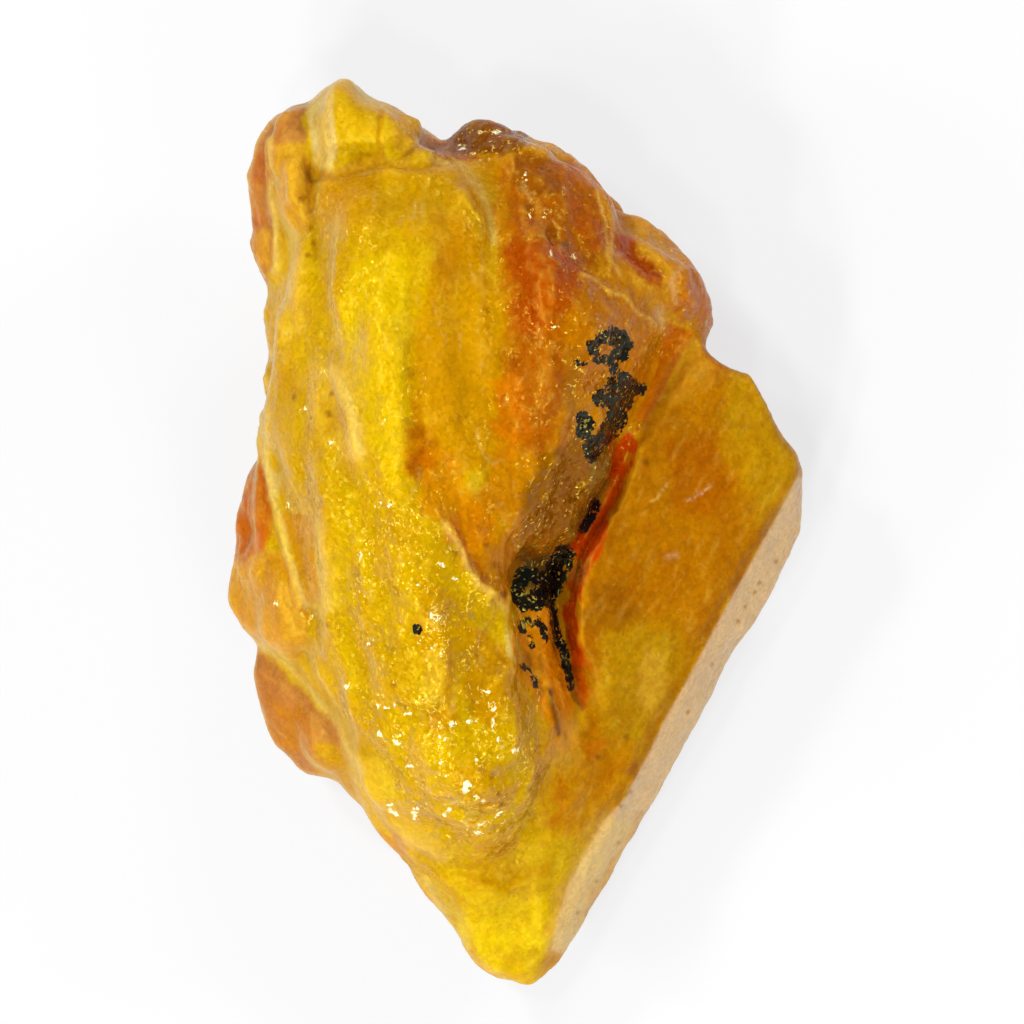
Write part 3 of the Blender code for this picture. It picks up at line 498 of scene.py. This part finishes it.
for tone, strength, edge, outline in PATCHES:
    blend(tone, strength * area(warped if edge > SHARP else plan, outline, 0.6 * edge))

# Thin streaks and seams of colour: (tone, strength, half width, line).
STREAKS = [
    ("cream", 0.7, 0.13, [(-10.1, 16.4), (-10.1, 14.0), (-9.9, 13.2), (-9.9, 11.0)]),
    ("sand", 0.8, 0.22, [(-11.2, 14.0), (-10.9, 16.2), (-9.9, 17.5)]),
    ("brown", 0.7, 0.16, [(-8.4, 15.1), (-8.5, 13.3)]),
    ("brown", 0.35, 0.25, [(-8.3, 13.0), (-8.2, 11.4)]),
    ("honey", 0.6, 0.12, [(-5.5, 17.4), (-5.65, 16.4), (-5.5, 15.4)]),
    ("tan", 0.6, 0.18, [(-8.2, 14.8), (-7.0, 15.0), (-5.6, 15.35), (-4.4, 15.2)]),
    ("brick", 0.6, 0.16, [(-4.5, 15.5), (-3.9, 16.0), (-3.3, 15.85), (-2.9, 16.0)]),
    ("cream", 0.5, 0.16, [(-3.4, 15.4), (-2.2, 15.2), (-1.6, 14.4), (-1.1, 13.2), (-0.9, 12.0)]),
    ("straw", 0.5, 0.07, [(3.3, 14.2), (3.7, 12.8), (3.8, 11.4), (4.3, 10.6)]),
    ("sand", 0.45, 0.07, [(4.0, 13.6), (4.0, 12.6), (3.9, 11.6)]),
    ("straw", 0.4, 0.06, [(2.6, 10.6), (3.2, 10.5), (3.9, 9.9), (4.4, 9.8), (5.0, 9.1), (5.5, 8.9),
                          (5.8, 8.5)]),
    ("sand", 0.6, 0.22, [(5.9, 9.2), (6.1, 8.6)]),
    ("sand", 0.5, 0.12, [(6.9, 11.2), (6.4, 10.4), (6.6, 9.6)]),
    ("pink", 0.3, 0.12, [(8.2, 8.5), (7.0, 7.8), (6.2, 6.4), (5.3, 4.4)]),
    ("straw", 0.6, 0.13, [(-2.9, 0.5), (-2.2, -0.6), (-1.6, -1.9), (-0.9, -2.4), (-0.4, -3.0)]),
    ("cream", 0.7, 0.16, [(-12.2, -3.2), (-11.0, -4.5), (-9.8, -5.0), (-8.6, -6.3), (-7.6, -7.6),
                          (-7.0, -8.8), (-6.4, -9.8)]),
    ("cream", 0.6, 0.13, [(-10.4, 3.4), (-10.2, 2.4), (-9.9, 1.2), (-9.6, 0.2), (-9.4, -0.8),
                          (-9.0, -1.9), (-8.6, -3.0)]),
    ("cream", 0.6, 0.22, [(-8.1, 0.6), (-8.0, -1.2), (-7.8, -3.0)]),
    ("cream", 0.6, 0.26, [(-7.4, 6.8), (-6.9, 5.6), (-6.5, 4.4), (-6.4, 3.4)]),
    ("cream", 0.6, 0.2, [(-3.8, -14.4), (-2.8, -16.2), (-1.8, -17.8), (-0.4, -18.7)]),
    ("cream", 0.4, 0.2, [(-5.0, -12.1), (-4.0, -12.9), (-3.0, -13.4)]),
    ("olive", 0.4, 0.22, [(10.8, 1.1), (10.0, -0.3), (8.4, -3.2), (6.8, -6.2), (5.3, -9.1), (4.4, -10.8),
                          (3.3, -12.0)]),
    ("gold", 0.6, 0.2, [(3.2, -12.2), (2.4, -13.6), (1.8, -15.0)]),
    ("sand", 0.7, 0.035, [(7.0, 1.5), (7.3, 1.5), (7.7, 1.85)]),
    ("sand", 0.7, 0.035, [(7.5, 1.6), (7.8, 1.75), (8.2, 2.1)]),
    ("straw", 0.5, 0.04, [(5.6, 1.4), (5.9, 1.6), (6.3, 2.1)]),
    ("sand", 0.4, 0.12, [(6.3, -0.9), (6.7, -0.8)]),
    ("maroon", 0.9, 0.17, [(1.45, -6.4), (1.6, -7.4), (1.8, -8.2)]),
    ("maroon", 0.7, 0.12, [(2.3, -6.1), (2.5, -6.8), (2.75, -7.2)]),
    ("maroon", 0.6, 0.1, [(0.5, -4.9), (0.6, -5.4)]),
    ("maroon", 0.5, 0.12, [(1.0, -5.0), (1.1, -5.6)]),
    ("brown", 0.5, 0.3, [(0.4, -5.1), (0.7, -5.6)]),
    ("brown", 0.5, 0.2, [(0.9, -6.0), (1.0, -6.4)]),
    ("khaki", 0.4, 0.35, [(2.4, 7.0), (2.2, 6.0), (2.4, 5.2)]),
]
for tone, strength, width, line in STREAKS:
    blend(tone, strength * np.exp(-((line_gap(plan + LINE_WANDER * wander, line) / width) ** 2)))

# Round specks of darker mineral: (tone, strength, radius, places).
SPECKS = [
    ("brown", 0.9, 0.16, [(5.4, 3.0), (-0.5, -2.4), (-0.7, -5.6), (-3.4, 15.9), (0.5, 13.4), (1.55, 12.3),
                          (2.05, 11.85)]),
    ("brown", 0.7, 0.12, [(-9.1, 5.7), (-7.5, 5.8), (-7.7, 5.0), (-7.6, 4.9), (-8.8, 13.8), (-8.4, 12.6),
                          (-8.3, 12.0), (-8.5, 11.5), (-4.3, 2.8), (-3.9, 2.6), (-3.8, 3.4), (-3.6, 3.8),
                          (-3.8, 4.2), (-5.0, -6.1), (-7.7, -3.7), (-1.0, -9.9), (-0.7, -10.6),
                          (-0.6, -11.1), (-0.9, -1.2), (-1.2, -0.4), (4.6, -8.4), (3.4, -9.2),
                          (-10.9, 13.1)]),
    ("olive", 0.7, 0.09, [(10.9, -1.1), (10.2, -2.0), (10.0, -2.4), (9.6, -3.0), (9.3, -3.6), (8.2, -5.4),
                          (7.2, -7.4), (4.8, -10.7), (4.4, -11.3), (4.3, -12.9), (3.4, -14.5),
                          (2.6, -15.8)]),
    ("orange", 0.5, 0.3, [(-4.0, 2.7), (-3.4, 3.7), (-4.0, 4.2), (1.4, 9.2), (0.2, 9.9), (-0.3, 4.6)]),
]
for tone, strength, radius, places in SPECKS:
    for place in places:
        blend(tone, strength * smooth(1.5 - np.hypot(*(plan - place).T) / radius))

# Clouds and long streaks in the body, a lighter or darker tone to each chip, and thin cream veils. The
# narrow face beside the shelf has next to none of them.
CLOUDING, STREAKING, CHIPPING, VEILING = 0.07, 0.07, 0.14, 0.3
STRIP = [(11.7, 2.4), (13.4, 2.6), (13.4, -1.0), (2.2, -17.8), (1.3, -17.2), (1.7, -16.2), (2.7, -13.6),
         (4.8, -10.6), (6.2, -7.7), (7.8, -4.8), (11.0, 1.0)]
lively = 1.0 - 0.8 * area(plan, STRIP, 0.3)[:, None]
LEAN_ACROSS, LEAN_ALONG = 0.96, 0.28
leaning = np.stack([LEAN_ACROSS * at[:, 0] + LEAN_ALONG * at[:, 1],
                    LEAN_ACROSS * at[:, 1] - LEAN_ALONG * at[:, 0], at[:, 2]], axis=1)
cloud = smooth(0.5 + 0.9 * waves(at, (1.3, 2.4, 1.3), 5))[:, None] * lively
streak = smooth(0.5 + 0.9 * waves(leaning, (0.28, 2.4, 1.0), 8))[:, None] * lively
dice = (facets(at, 0.8, 3.0)[1][:, None] - 0.5) * lively
veil = smooth(1.0 - np.abs(waves(leaning, (0.55, 2.2, 1.2), 14)) / 0.05)
veil *= smooth(waves(at, (1.6, 2.0, 1.6), 15) * 2.0)
colour *= 1.0 - CLOUDING * cloud * np.array([0.4, 1.0, 1.0])
colour *= 1.0 - STREAKING * streak * np.array([0.5, 1.0, 1.0])
colour *= 1.0 + CHIPPING * dice * np.array([0.7, 1.0, 1.0])
blend("cream", VEILING * veil[:, None] * lively * (1.0 - shelf))

# Painted shade and highlight: hollows and steep slopes are painted darker and more amber, and the crests of
# the chips are painted paler.
fine_crest = np.einsum("ij,ij->i", at - spread(at, ends, counts, 4), normals)
broad_crest = np.einsum("ij,ij->i", at - spread(at, ends, counts, 24), normals)
hollow_shade = smooth(-broad_crest / 0.16 - 0.1)[:, None]
slope_shade = smooth((0.92 - normals[:, 2]) / 0.6)[:, None] * (1.0 - shelf)
crest_highlight = smooth(fine_crest / 0.035 - 0.2)[:, None]
SHADE_TINT = np.array([0.0, 0.16, 0.6])
CREST_HIGHLIGHT_COLOUR = np.array([0.88, 0.62, 0.06]) * DEPTH
colour *= 1.0 - lively * np.maximum(hollow_shade, slope_shade) * SHADE_TINT
blend(CREST_HIGHLIGHT_COLOUR, 0.14 * crest_highlight * (1.0 - 0.8 * shelf))

# The shelf is mottled, with short slanting flecks.
BLOTTING, FLECKING = 0.2, 0.2
FLECK_COLOUR = np.array([0.8, 0.52, 0.06]) * DEPTH
slant = np.stack([0.5 * at[:, 0] + 0.87 * at[:, 1], 0.87 * at[:, 0] - 0.5 * at[:, 1], at[:, 2]], axis=1)
blot = smooth(0.35 + 1.1 * waves(at, (0.5, 0.5, 0.5), 12))[:, None] * shelf * lively
fleck = smooth(-0.2 + 1.5 * waves(slant, (0.8, 0.2, 0.4), 11))[:, None] * shelf * lively
colour *= 1.0 - BLOTTING * blot * np.array([0.5, 1.0, 1.0])
blend(FLECK_COLOUR, FLECKING * fleck)

# Painted sheen: the ridge's left flank is painted paler, towards cream, where it falls away steeply. The
# undersides are drawn towards the caramel tone here and there.
YELLOW_ZONE = PATCHES[0][3]
flank_sheen = smooth((0.6 - normals[:, 2]) / 0.4) * area(warped, YELLOW_ZONE, 0.6) * smooth(-5.0 - plan[:, 0])
blend("cream", 0.35 * flank_sheen)
underside_caramel = smooth((0.3 - normals[:, 2]) / 0.5) * smooth(0.2 + 1.5 * waves(at, (2.6, 2.6, 1.8), 16))
blend("caramel", 0.5 * underside_caramel[:, None] * lively)

# Black mineral in the fold, as strokes: (half width, line). It grew on the upper side only.
BLACKS = [
    (0.24, [(3.1, 7.8), (3.5, 8.05), (3.9, 8.3), (4.3, 8.2), (4.6, 7.8), (4.4, 7.4), (4.15, 7.4)]),
    (0.2, [(3.15, 7.55), (3.4, 7.2), (3.9, 7.15), (4.1, 6.7)]),
    (0.3, [(4.1, 7.95), (4.4, 7.8)]),
    (0.12, [(2.5, 7.05), (2.8, 7.05)]),
    (0.28, [(3.9, 6.2), (4.4, 6.45), (4.7, 6.2), (5.15, 6.05)]),
    (0.28, [(4.4, 6.2), (4.7, 5.9)]),
    (0.36, [(3.5, 5.6), (4.0, 5.6), (4.5, 5.5)]),
    (0.42, [(4.1, 5.3), (4.2, 4.8), (3.9, 4.4)]),
    (0.34, [(3.8, 4.2), (3.5, 3.9), (3.3, 3.6)]),
    (0.28, [(2.75, 4.8), (3.0, 4.5), (2.75, 4.3), (3.05, 3.9)]),
    (0.26, [(3.0, 3.7), (3.15, 3.2)]),
    (0.22, [(3.3, 1.3), (3.15, 0.8), (2.8, 0.3)]),
    (0.5, [(2.0, -0.9), (1.7, -1.5), (1.5, -2.1)]),
    (0.45, [(1.5, -2.2), (1.1, -2.6), (0.8, -2.7)]),
    (0.3, [(0.2, -1.8), (0.1, -2.4), (0.3, -2.9)]),
    (0.3, [(0.3, -1.6), (0.9, -1.7), (1.2, -1.9)]),
    (0.16, [(1.5, -2.8), (1.6, -3.6), (1.8, -4.4)]),
    (0.2, [(1.9, -4.5), (2.05, -5.0), (2.1, -5.4)]),
    (0.15, [(2.15, -5.4), (2.3, -6.3)]),
    (0.14, [(0.2, -3.6), (0.3, -3.9)]),
    (0.16, [(0.9, -3.5), (1.15, -3.9), (1.2, -4.3)]),
    (0.1, [(0.5, -3.4), (0.7, -3.7)]),
    (0.1, [(0.6, -4.2), (0.7, -4.6)]),
    (0.1, [(0.3, -5.4), (0.5, -5.6)]),
    (0.12, [(0.75, -5.9), (0.85, -6.2)]),
    (0.17, [(-4.0, -3.78), (-4.0, -3.86)]),
]
black = np.zeros(len(at))
for width, line in BLACKS:
    black = np.maximum(black, smooth(0.5 + (width - line_gap(plan, line)) / 0.4))
black *= smooth(0.5 + 4.0 * normals[:, 2])

# How grainy the skin is, over a middling ground: (share, edge width, outline). The shelf has its own.
MIDDLING_GRAIN, SHELF_GRAIN = 0.5, 0.14
GRAINS = [
    (1.0, 1.6, [(-6.2, -6.4), (-3.0, -5.6), (0.4, -6.6), (1.0, -9.6), (-0.2, -13.0), (-3.2, -13.0),
                (-5.4, -10.4)]),
    (0.9, 1.4, [(-7.4, 2.0), (-3.2, 1.6), (-1.2, -2.4), (-1.4, -6.4), (-5.0, -6.6), (-7.6, -3.6)]),
    (0.8, 1.0, [(1.2, 8.4), (3.0, 9.4), (4.6, 8.0), (4.4, 3.6), (2.6, 0.0), (0.6, -2.0), (0.2, 1.2),
                (1.8, 4.6)]),
    (0.55, 1.0, [(-8.4, 14.4), (-5.0, 14.8), (-4.6, 12.4), (-6.4, 10.2), (-8.6, 10.6)]),
    (0.7, 0.8, [(-2.8, 17.2), (0.6, 17.0), (1.2, 15.4), (-1.8, 15.4)]),
    (0.15, 0.9, [(-4.6, 13.6), (-2.4, 13.6), (-1.4, 10.0), (-1.2, 6.0), (-3.0, 5.0), (-4.4, 8.0)]),
    (0.12, 0.5, [(-8.6, 17.8), (-7.6, 18.8), (-5.5, 18.7), (-5.5, 15.5), (-7.6, 15.3), (-8.5, 15.4)]),
    (0.25, 0.8, [(-12.0, 18.0), (-8.6, 18.0), (-8.6, 8.0), (-9.2, 2.0), (-9.0, -3.0), (-12.6, -3.0)]),
    (0.12, 0.9, [(-12.6, -3.0), (-9.6, -3.0), (-7.4, -7.0), (-5.4, -9.6), (-4.2, -11.6), (-3.0, -13.4),
                 (-7.0, -14.0), (-12.0, -8.0)]),
    (0.2, 1.0, [(-3.4, -14.0), (0.4, -14.4), (1.4, -13.0), (3.4, -12.4), (1.6, -17.0), (0.2, -19.4),
                (-2.4, -18.6), (-4.6, -15.0)]),
]
grain = np.full(len(at), MIDDLING_GRAIN)
for share, edge, outline in GRAINS:
    grain += area(warped, outline, edge) * (share - grain)
grain = grain * (0.55 + 0.6 * smooth(0.5 + 1.2 * waves(at, (1.0, 1.4, 1.0), 9)))
grain += shelf[:, 0] * (SHELF_GRAIN - grain)
grain = np.maximum(grain, black)

# Painted highlights, glints painted into the colour: big ones as (half width, places), a place being its
# middle and how far it reaches, and small ones on grainy skin.
PAINTED_GLINTS = [
    (0.11, [(-3.4, -3.3, 0.1, 0), (-3.3, -4.6, 0, 0.1), (-3.1, -4.9, 0.1, 0.1), (-2.8, -4.3, 0.1, 0),
            (-6.0, -4.4, 0.1, 0.1), (-8.4, -3.4, 0.1, 0.1), (-7.0, -6.2, 0.1, 0), (-4.4, -7.3, 0.1, 0),
            (-5.6, -8.2, 0, 0.1), (-2.6, -7.7, 0.1, 0), (-1.8, -7.6, 0.2, 0), (-1.0, -7.1, 0, 0.2),
            (-1.0, -7.7, 0, 0.1), (-1.2, -6.4, 0.1, 0), (-4.4, -9.5, 0.1, 0), (-2.8, -11.4, 0.1, 0.1),
            (-1.3, -11.9, 0.2, 0.1), (-0.7, -11.5, 0.1, 0.1), (-1.6, -12.3, 0.1, 0),
            (-1.5, -10.8, 0.2, -0.1), (-8.7, 5.15, 0.1, 0), (-8.0, 6.7, 0.1, 0), (-5.4, 4.7, 0, 0.1),
            (-5.6, 1.25, 0.1, 0), (-5.1, 1.3, 0.1, 0.1), (-3.0, -1.2, 0.1, -0.1), (-2.5, -1.7, 0.1, 0),
            (-6.4, -0.9, 0, 0.1), (-7.6, 3.8, 0.1, 0), (-9.8, -2.8, 0.1, 0), (-9.4, 1.2, 0, 0.1),
            (-1.4, 16.6, 0.1, 0), (-0.8, 16.6, 0.1, 0), (-2.2, 16.0, 0.1, 0), (-1.8, 15.7, 0.1, 0),
            (0.4, 14.7, 0, 0.1), (0.6, 13.1, 0, 0.1), (1.2, 13.1, 0.1, 0.1), (1.4, 11.5, 0, 0.1),
            (2.4, 11.3, 0, 0.1), (1.6, 8.5, 0.1, 0)]),
    (0.15, [(-5.35, -7.0, 0.3, 0.05), (-4.9, -8.4, 0.1, -0.1), (-0.1, -8.8, 0.1, 0),
            (-5.1, -11.4, 0.1, -0.2), (-4.1, -11.5, 0.05, 0.2), (-3.2, -3.6, 0, 0.2)]),
    (0.2, [(-2.0, -10.3, 0.05, 0.15)]),
]
painted_glint = 0.36 * grain ** 2 * (1.0 - 0.6 * black)
for half, places in PAINTED_GLINTS:
    for x, y, across, along in places:
        stroke = [(x - across, y - along), (x + across, y + along + 0.01)]
        gap = line_gap(plan + PAINTED_GLINT_WANDER * wander, stroke)
        painted_glint = np.maximum(painted_glint, 0.97 * smooth(1.5 - gap / half) * (normals[:, 2] > 0.0))

# The colour, and the marks: black mineral, grain and the share of painted glints.
whole = np.ones(len(at))
for name, columns in (("zone_colour", [np.clip(colour, 0, 1), whole]),
                      ("marks", [black, grain, painted_glint, whole])):
    painted = mesh.attributes.new(name, "FLOAT_COLOR", "POINT")
    painted.data.foreach_set("color", np.column_stack(columns).ravel())

# The stone's material: cloudy corundum, so light goes in and comes back coloured; the broken skin has a
# wet-looking gloss with fine sparkling steps, duller on the shelf and the narrow face, and painted glints in
# its colour.
material = bpy.data.materials.new("yellow_sapphire")
material.use_nodes = True
nodes, links = material.node_tree.nodes, material.node_tree.links
shader = nodes["Principled BSDF"]
coords = nodes.new("ShaderNodeTexCoord").outputs["Object"]


def feed(socket, value):
    """Gives a socket a number, or links another socket to it."""
    if isinstance(value, (int, float, tuple)):
        socket.default_value = value
    else:
        links.new(value, socket)


def maths(operation, a, b=0.0):
    made = nodes.new("ShaderNodeMath")
    made.operation = operation
    feed(made.inputs[0], a)
    feed(made.inputs[1], b)
    return made.outputs[0]


def vectors(operation, a, b=None):
    made = nodes.new("ShaderNodeVectorMath")
    made.operation = operation
    feed(made.inputs[0], a)
    if b is not None:
        feed(made.inputs["Scale" if operation == "SCALE" else 1], b)
    return made.outputs[0]


def texture(kind, scale, detail=0.0):
    made = nodes.new(kind)
    made.inputs["Scale"].default_value = scale
    made.inputs["Detail"].default_value = detail
    feed(made.inputs["Vector"], coords)
    return made


def channels(colour):
    """A colour's red, green and blue."""
    made = nodes.new("ShaderNodeSeparateColor")
    feed(made.inputs[0], colour)
    return made.outputs[0], made.outputs[1], made.outputs[2]


def painted_colour(name):
    made = nodes.new("ShaderNodeAttribute")
    made.attribute_name = name
    return made.outputs["Color"]


def ramp(value, start, end, kind="LINEAR"):
    """0 at the start value, 1 at the end value."""
    made = nodes.new("ShaderNodeMapRange")
    made.interpolation_type = kind
    feed(made.inputs["Value"], value)
    made.inputs["From Min"].default_value = start
    made.inputs["From Max"].default_value = end
    return made.outputs[0]


def mixed(share, a, b):
    made = nodes.new("ShaderNodeMix")
    made.data_type = "RGBA"
    for socket, value in zip((0, 6, 7), (share, a, b)):
        feed(made.inputs[socket], value)
    return made.outputs[2]


# The marks carry the black mineral's share, the grain and the share of painted glints.
black_share, grain_share, painted_glint_share = channels(painted_colour("marks"))

# Two sizes of crystal face, about half a millimetre and an eighth. Each is turned a little its own way,
# and is a little lighter or darker than its neighbours. A few of the big ones are clean.
BIG_TO_METRE, SMALL_TO_METRE, CURLS_TO_METRE = 1800.0, 7500.0, 3400.0
big = texture("ShaderNodeTexVoronoi", BIG_TO_METRE, 1.0).outputs["Color"]
small = texture("ShaderNodeTexVoronoi", SMALL_TO_METRE).outputs["Color"]
curl = texture("ShaderNodeTexNoise", CURLS_TO_METRE, 1.0).outputs["Fac"]
dice_1, dice_2, dice_3 = channels(small)
clean = maths("GREATER_THAN", channels(big)[2], 0.95)
broken = maths("SUBTRACT", 0.5, maths("MULTIPLY", clean, 0.42))
lean = vectors("ADD", vectors("SCALE", vectors("SUBTRACT", big, (0.75, 0.75, 0.75)), 0.5),
               vectors("SCALE", vectors("SUBTRACT", small, (0.5, 0.5, 0.5)), broken))
skin_normal = nodes.new("ShaderNodeNewGeometry").outputs["Normal"]
turned = vectors("ADD", skin_normal, vectors("SCALE", lean, grain_share))
links.new(vectors("NORMALIZE", turned), shader.inputs["Normal"])

# The black mineral is a broken crust, with the stone showing through it.
BLACK_COLOUR = (0.003, 0.0045, 0.005, 1.0)
ragged = maths("ADD", maths("MULTIPLY", dice_1, 0.8), maths("MULTIPLY", curl, 1.8))
crust = ramp(maths("MULTIPLY", black_share, maths("SUBTRACT", ragged, 0.3)), 0.42, 0.54, "SMOOTHSTEP")
lighter = maths("ADD", 0.86, maths("MULTIPLY", dice_2, 0.28))
tint = mixed(crust, vectors("SCALE", painted_colour("zone_colour"), lighter), BLACK_COLOUR)

# Painted highlights: glints painted into the base colour, gold on thin curling edges lit here and there,
# white on the big ones with a ragged rim.
PAINTED_GOLD_GLINT, PAINTED_WHITE_GLINT = (0.48, 0.34, 0.05, 1.0), (0.6, 0.55, 0.36, 1.0)
edge = ramp(maths("ABSOLUTE", maths("SUBTRACT", curl, 0.5)), 0.04, 0.01)
lit = ramp(maths("ADD", painted_glint_share, dice_2), 1.0, 1.1)
rim = maths("MULTIPLY", maths("SUBTRACT", dice_1, 0.5), 0.7)
wide = ramp(maths("ADD", maths("ADD", painted_glint_share, rim), maths("MULTIPLY", curl, 1.5)), 1.62, 1.8)
painted_glinting = maths("MAXIMUM", maths("MULTIPLY", edge, lit), wide)
links.new(mixed(painted_glinting, tint, mixed(wide, PAINTED_GOLD_GLINT, PAINTED_WHITE_GLINT)), shader.inputs["Base Color"])

# The grainier the skin, the glossier. Red light goes furthest through the stone and blue least.
dullness = maths("SUBTRACT", 0.36, maths("MULTIPLY", grain_share, 0.31))
links.new(maths("ADD", maths("MULTIPLY", dice_3, 0.1), dullness), shader.inputs["Roughness"])
for socket, value in (("IOR", 1.28), ("Specular Tint", (1.0, 0.8, 0.06, 1.0)), ("Subsurface Weight", 0.5),
                      ("Subsurface Radius", (1.0, 0.55, 0.12)), ("Subsurface Scale", 0.003)):
    shader.inputs[socket].default_value = value
mesh.materials.append(material)

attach(stone, "root")
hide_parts("sapphire")

# The studio's table: a near-white sheet, a hair below the stone's resting face.
FLOOR_HALF = 0.6
floor_mesh = bpy.data.meshes.new("floor")
floor_mesh.from_pydata([(-FLOOR_HALF, -FLOOR_HALF, 0), (FLOOR_HALF, -FLOOR_HALF, 0),
                        (FLOOR_HALF, FLOOR_HALF, 0), (-FLOOR_HALF, FLOOR_HALF, 0)], [], [(0, 1, 2, 3)])
floor = bpy.data.objects.new("floor", floor_mesh)
floor.location.z = -0.00002
bpy.context.scene.collection.objects.link(floor)
paper = bpy.data.materials.new("paper")
paper.use_nodes = True
sheet = paper.node_tree.nodes["Principled BSDF"].inputs
sheet["Base Color"].default_value = (0.1, 0.1, 0.101, 1.0)
sheet["Roughness"].default_value = 0.8
sheet["Emission Color"].default_value = (1.0, 0.995, 1.0, 1.0)
sheet["Emission Strength"].default_value = 0.69
floor_mesh.materials.append(paper)

# White light from all round, stronger near the horizon.
world = bpy.data.worlds.new("studio")
world.use_nodes = True
sky, sky_links = world.node_tree.nodes, world.node_tree.links
height_of = sky.new("ShaderNodeSeparateXYZ")
sky_links.new(sky.new("ShaderNodeTexCoord").outputs["Generated"], height_of.inputs[0])
shade = sky.new("ShaderNodeMapRange")
shade.interpolation_type = "SMOOTHSTEP"
for socket, value in (("From Min", 0.1), ("From Max", 0.6), ("To Min", 0.4), ("To Max", 0.2)):
    shade.inputs[socket].default_value = value
sky_links.new(height_of.outputs["Z"], shade.inputs["Value"])
sky_links.new(shade.outputs[0], sky["Background"].inputs["Strength"])
sky["Background"].inputs["Color"].default_value = (1.0, 1.0, 1.0, 1.0)
bpy.context.scene.world = world

# Softboxes all round give the gloss: (name, place, size in metres, watts).
SOFTBOXES = [
    ("key", (-0.26, 0.26, 0.38), 0.05, 1.4),
    ("low", (-0.10, -0.36, 0.30), 0.05, 1.35),
    ("side", (0.34, 0.20, 0.26), 0.10, 0.9),
    ("left", (-0.38, -0.06, 0.28), 0.10, 0.9),
    ("back", (0.10, 0.38, 0.28), 0.10, 0.9),
    ("corner", (0.16, -0.36, 0.22), 0.10, 0.8),
    ("spark", (-0.16, -0.22, 0.38), 0.035, 0.8),
    ("spark high", (-0.12, 0.08, 0.46), 0.035, 0.6),
    ("spark near", (-0.06, -0.12, 0.48), 0.035, 0.6),
]
for name, place, size, watts in SOFTBOXES:
    light = bpy.data.lights.new(name, "AREA")
    light.shape = "SQUARE"
    light.size = size
    light.energy = watts
    lamp = bpy.data.objects.new(name, light)
    lamp.location = place
    lamp.rotation_euler = (Vector((0, 0, MIDDLE_HEIGHT)) - lamp.location).to_track_quat("-Z", "Y").to_euler()
    bpy.context.scene.collection.objects.link(lamp)

bpy.context.scene.view_settings.view_transform = "Standard"
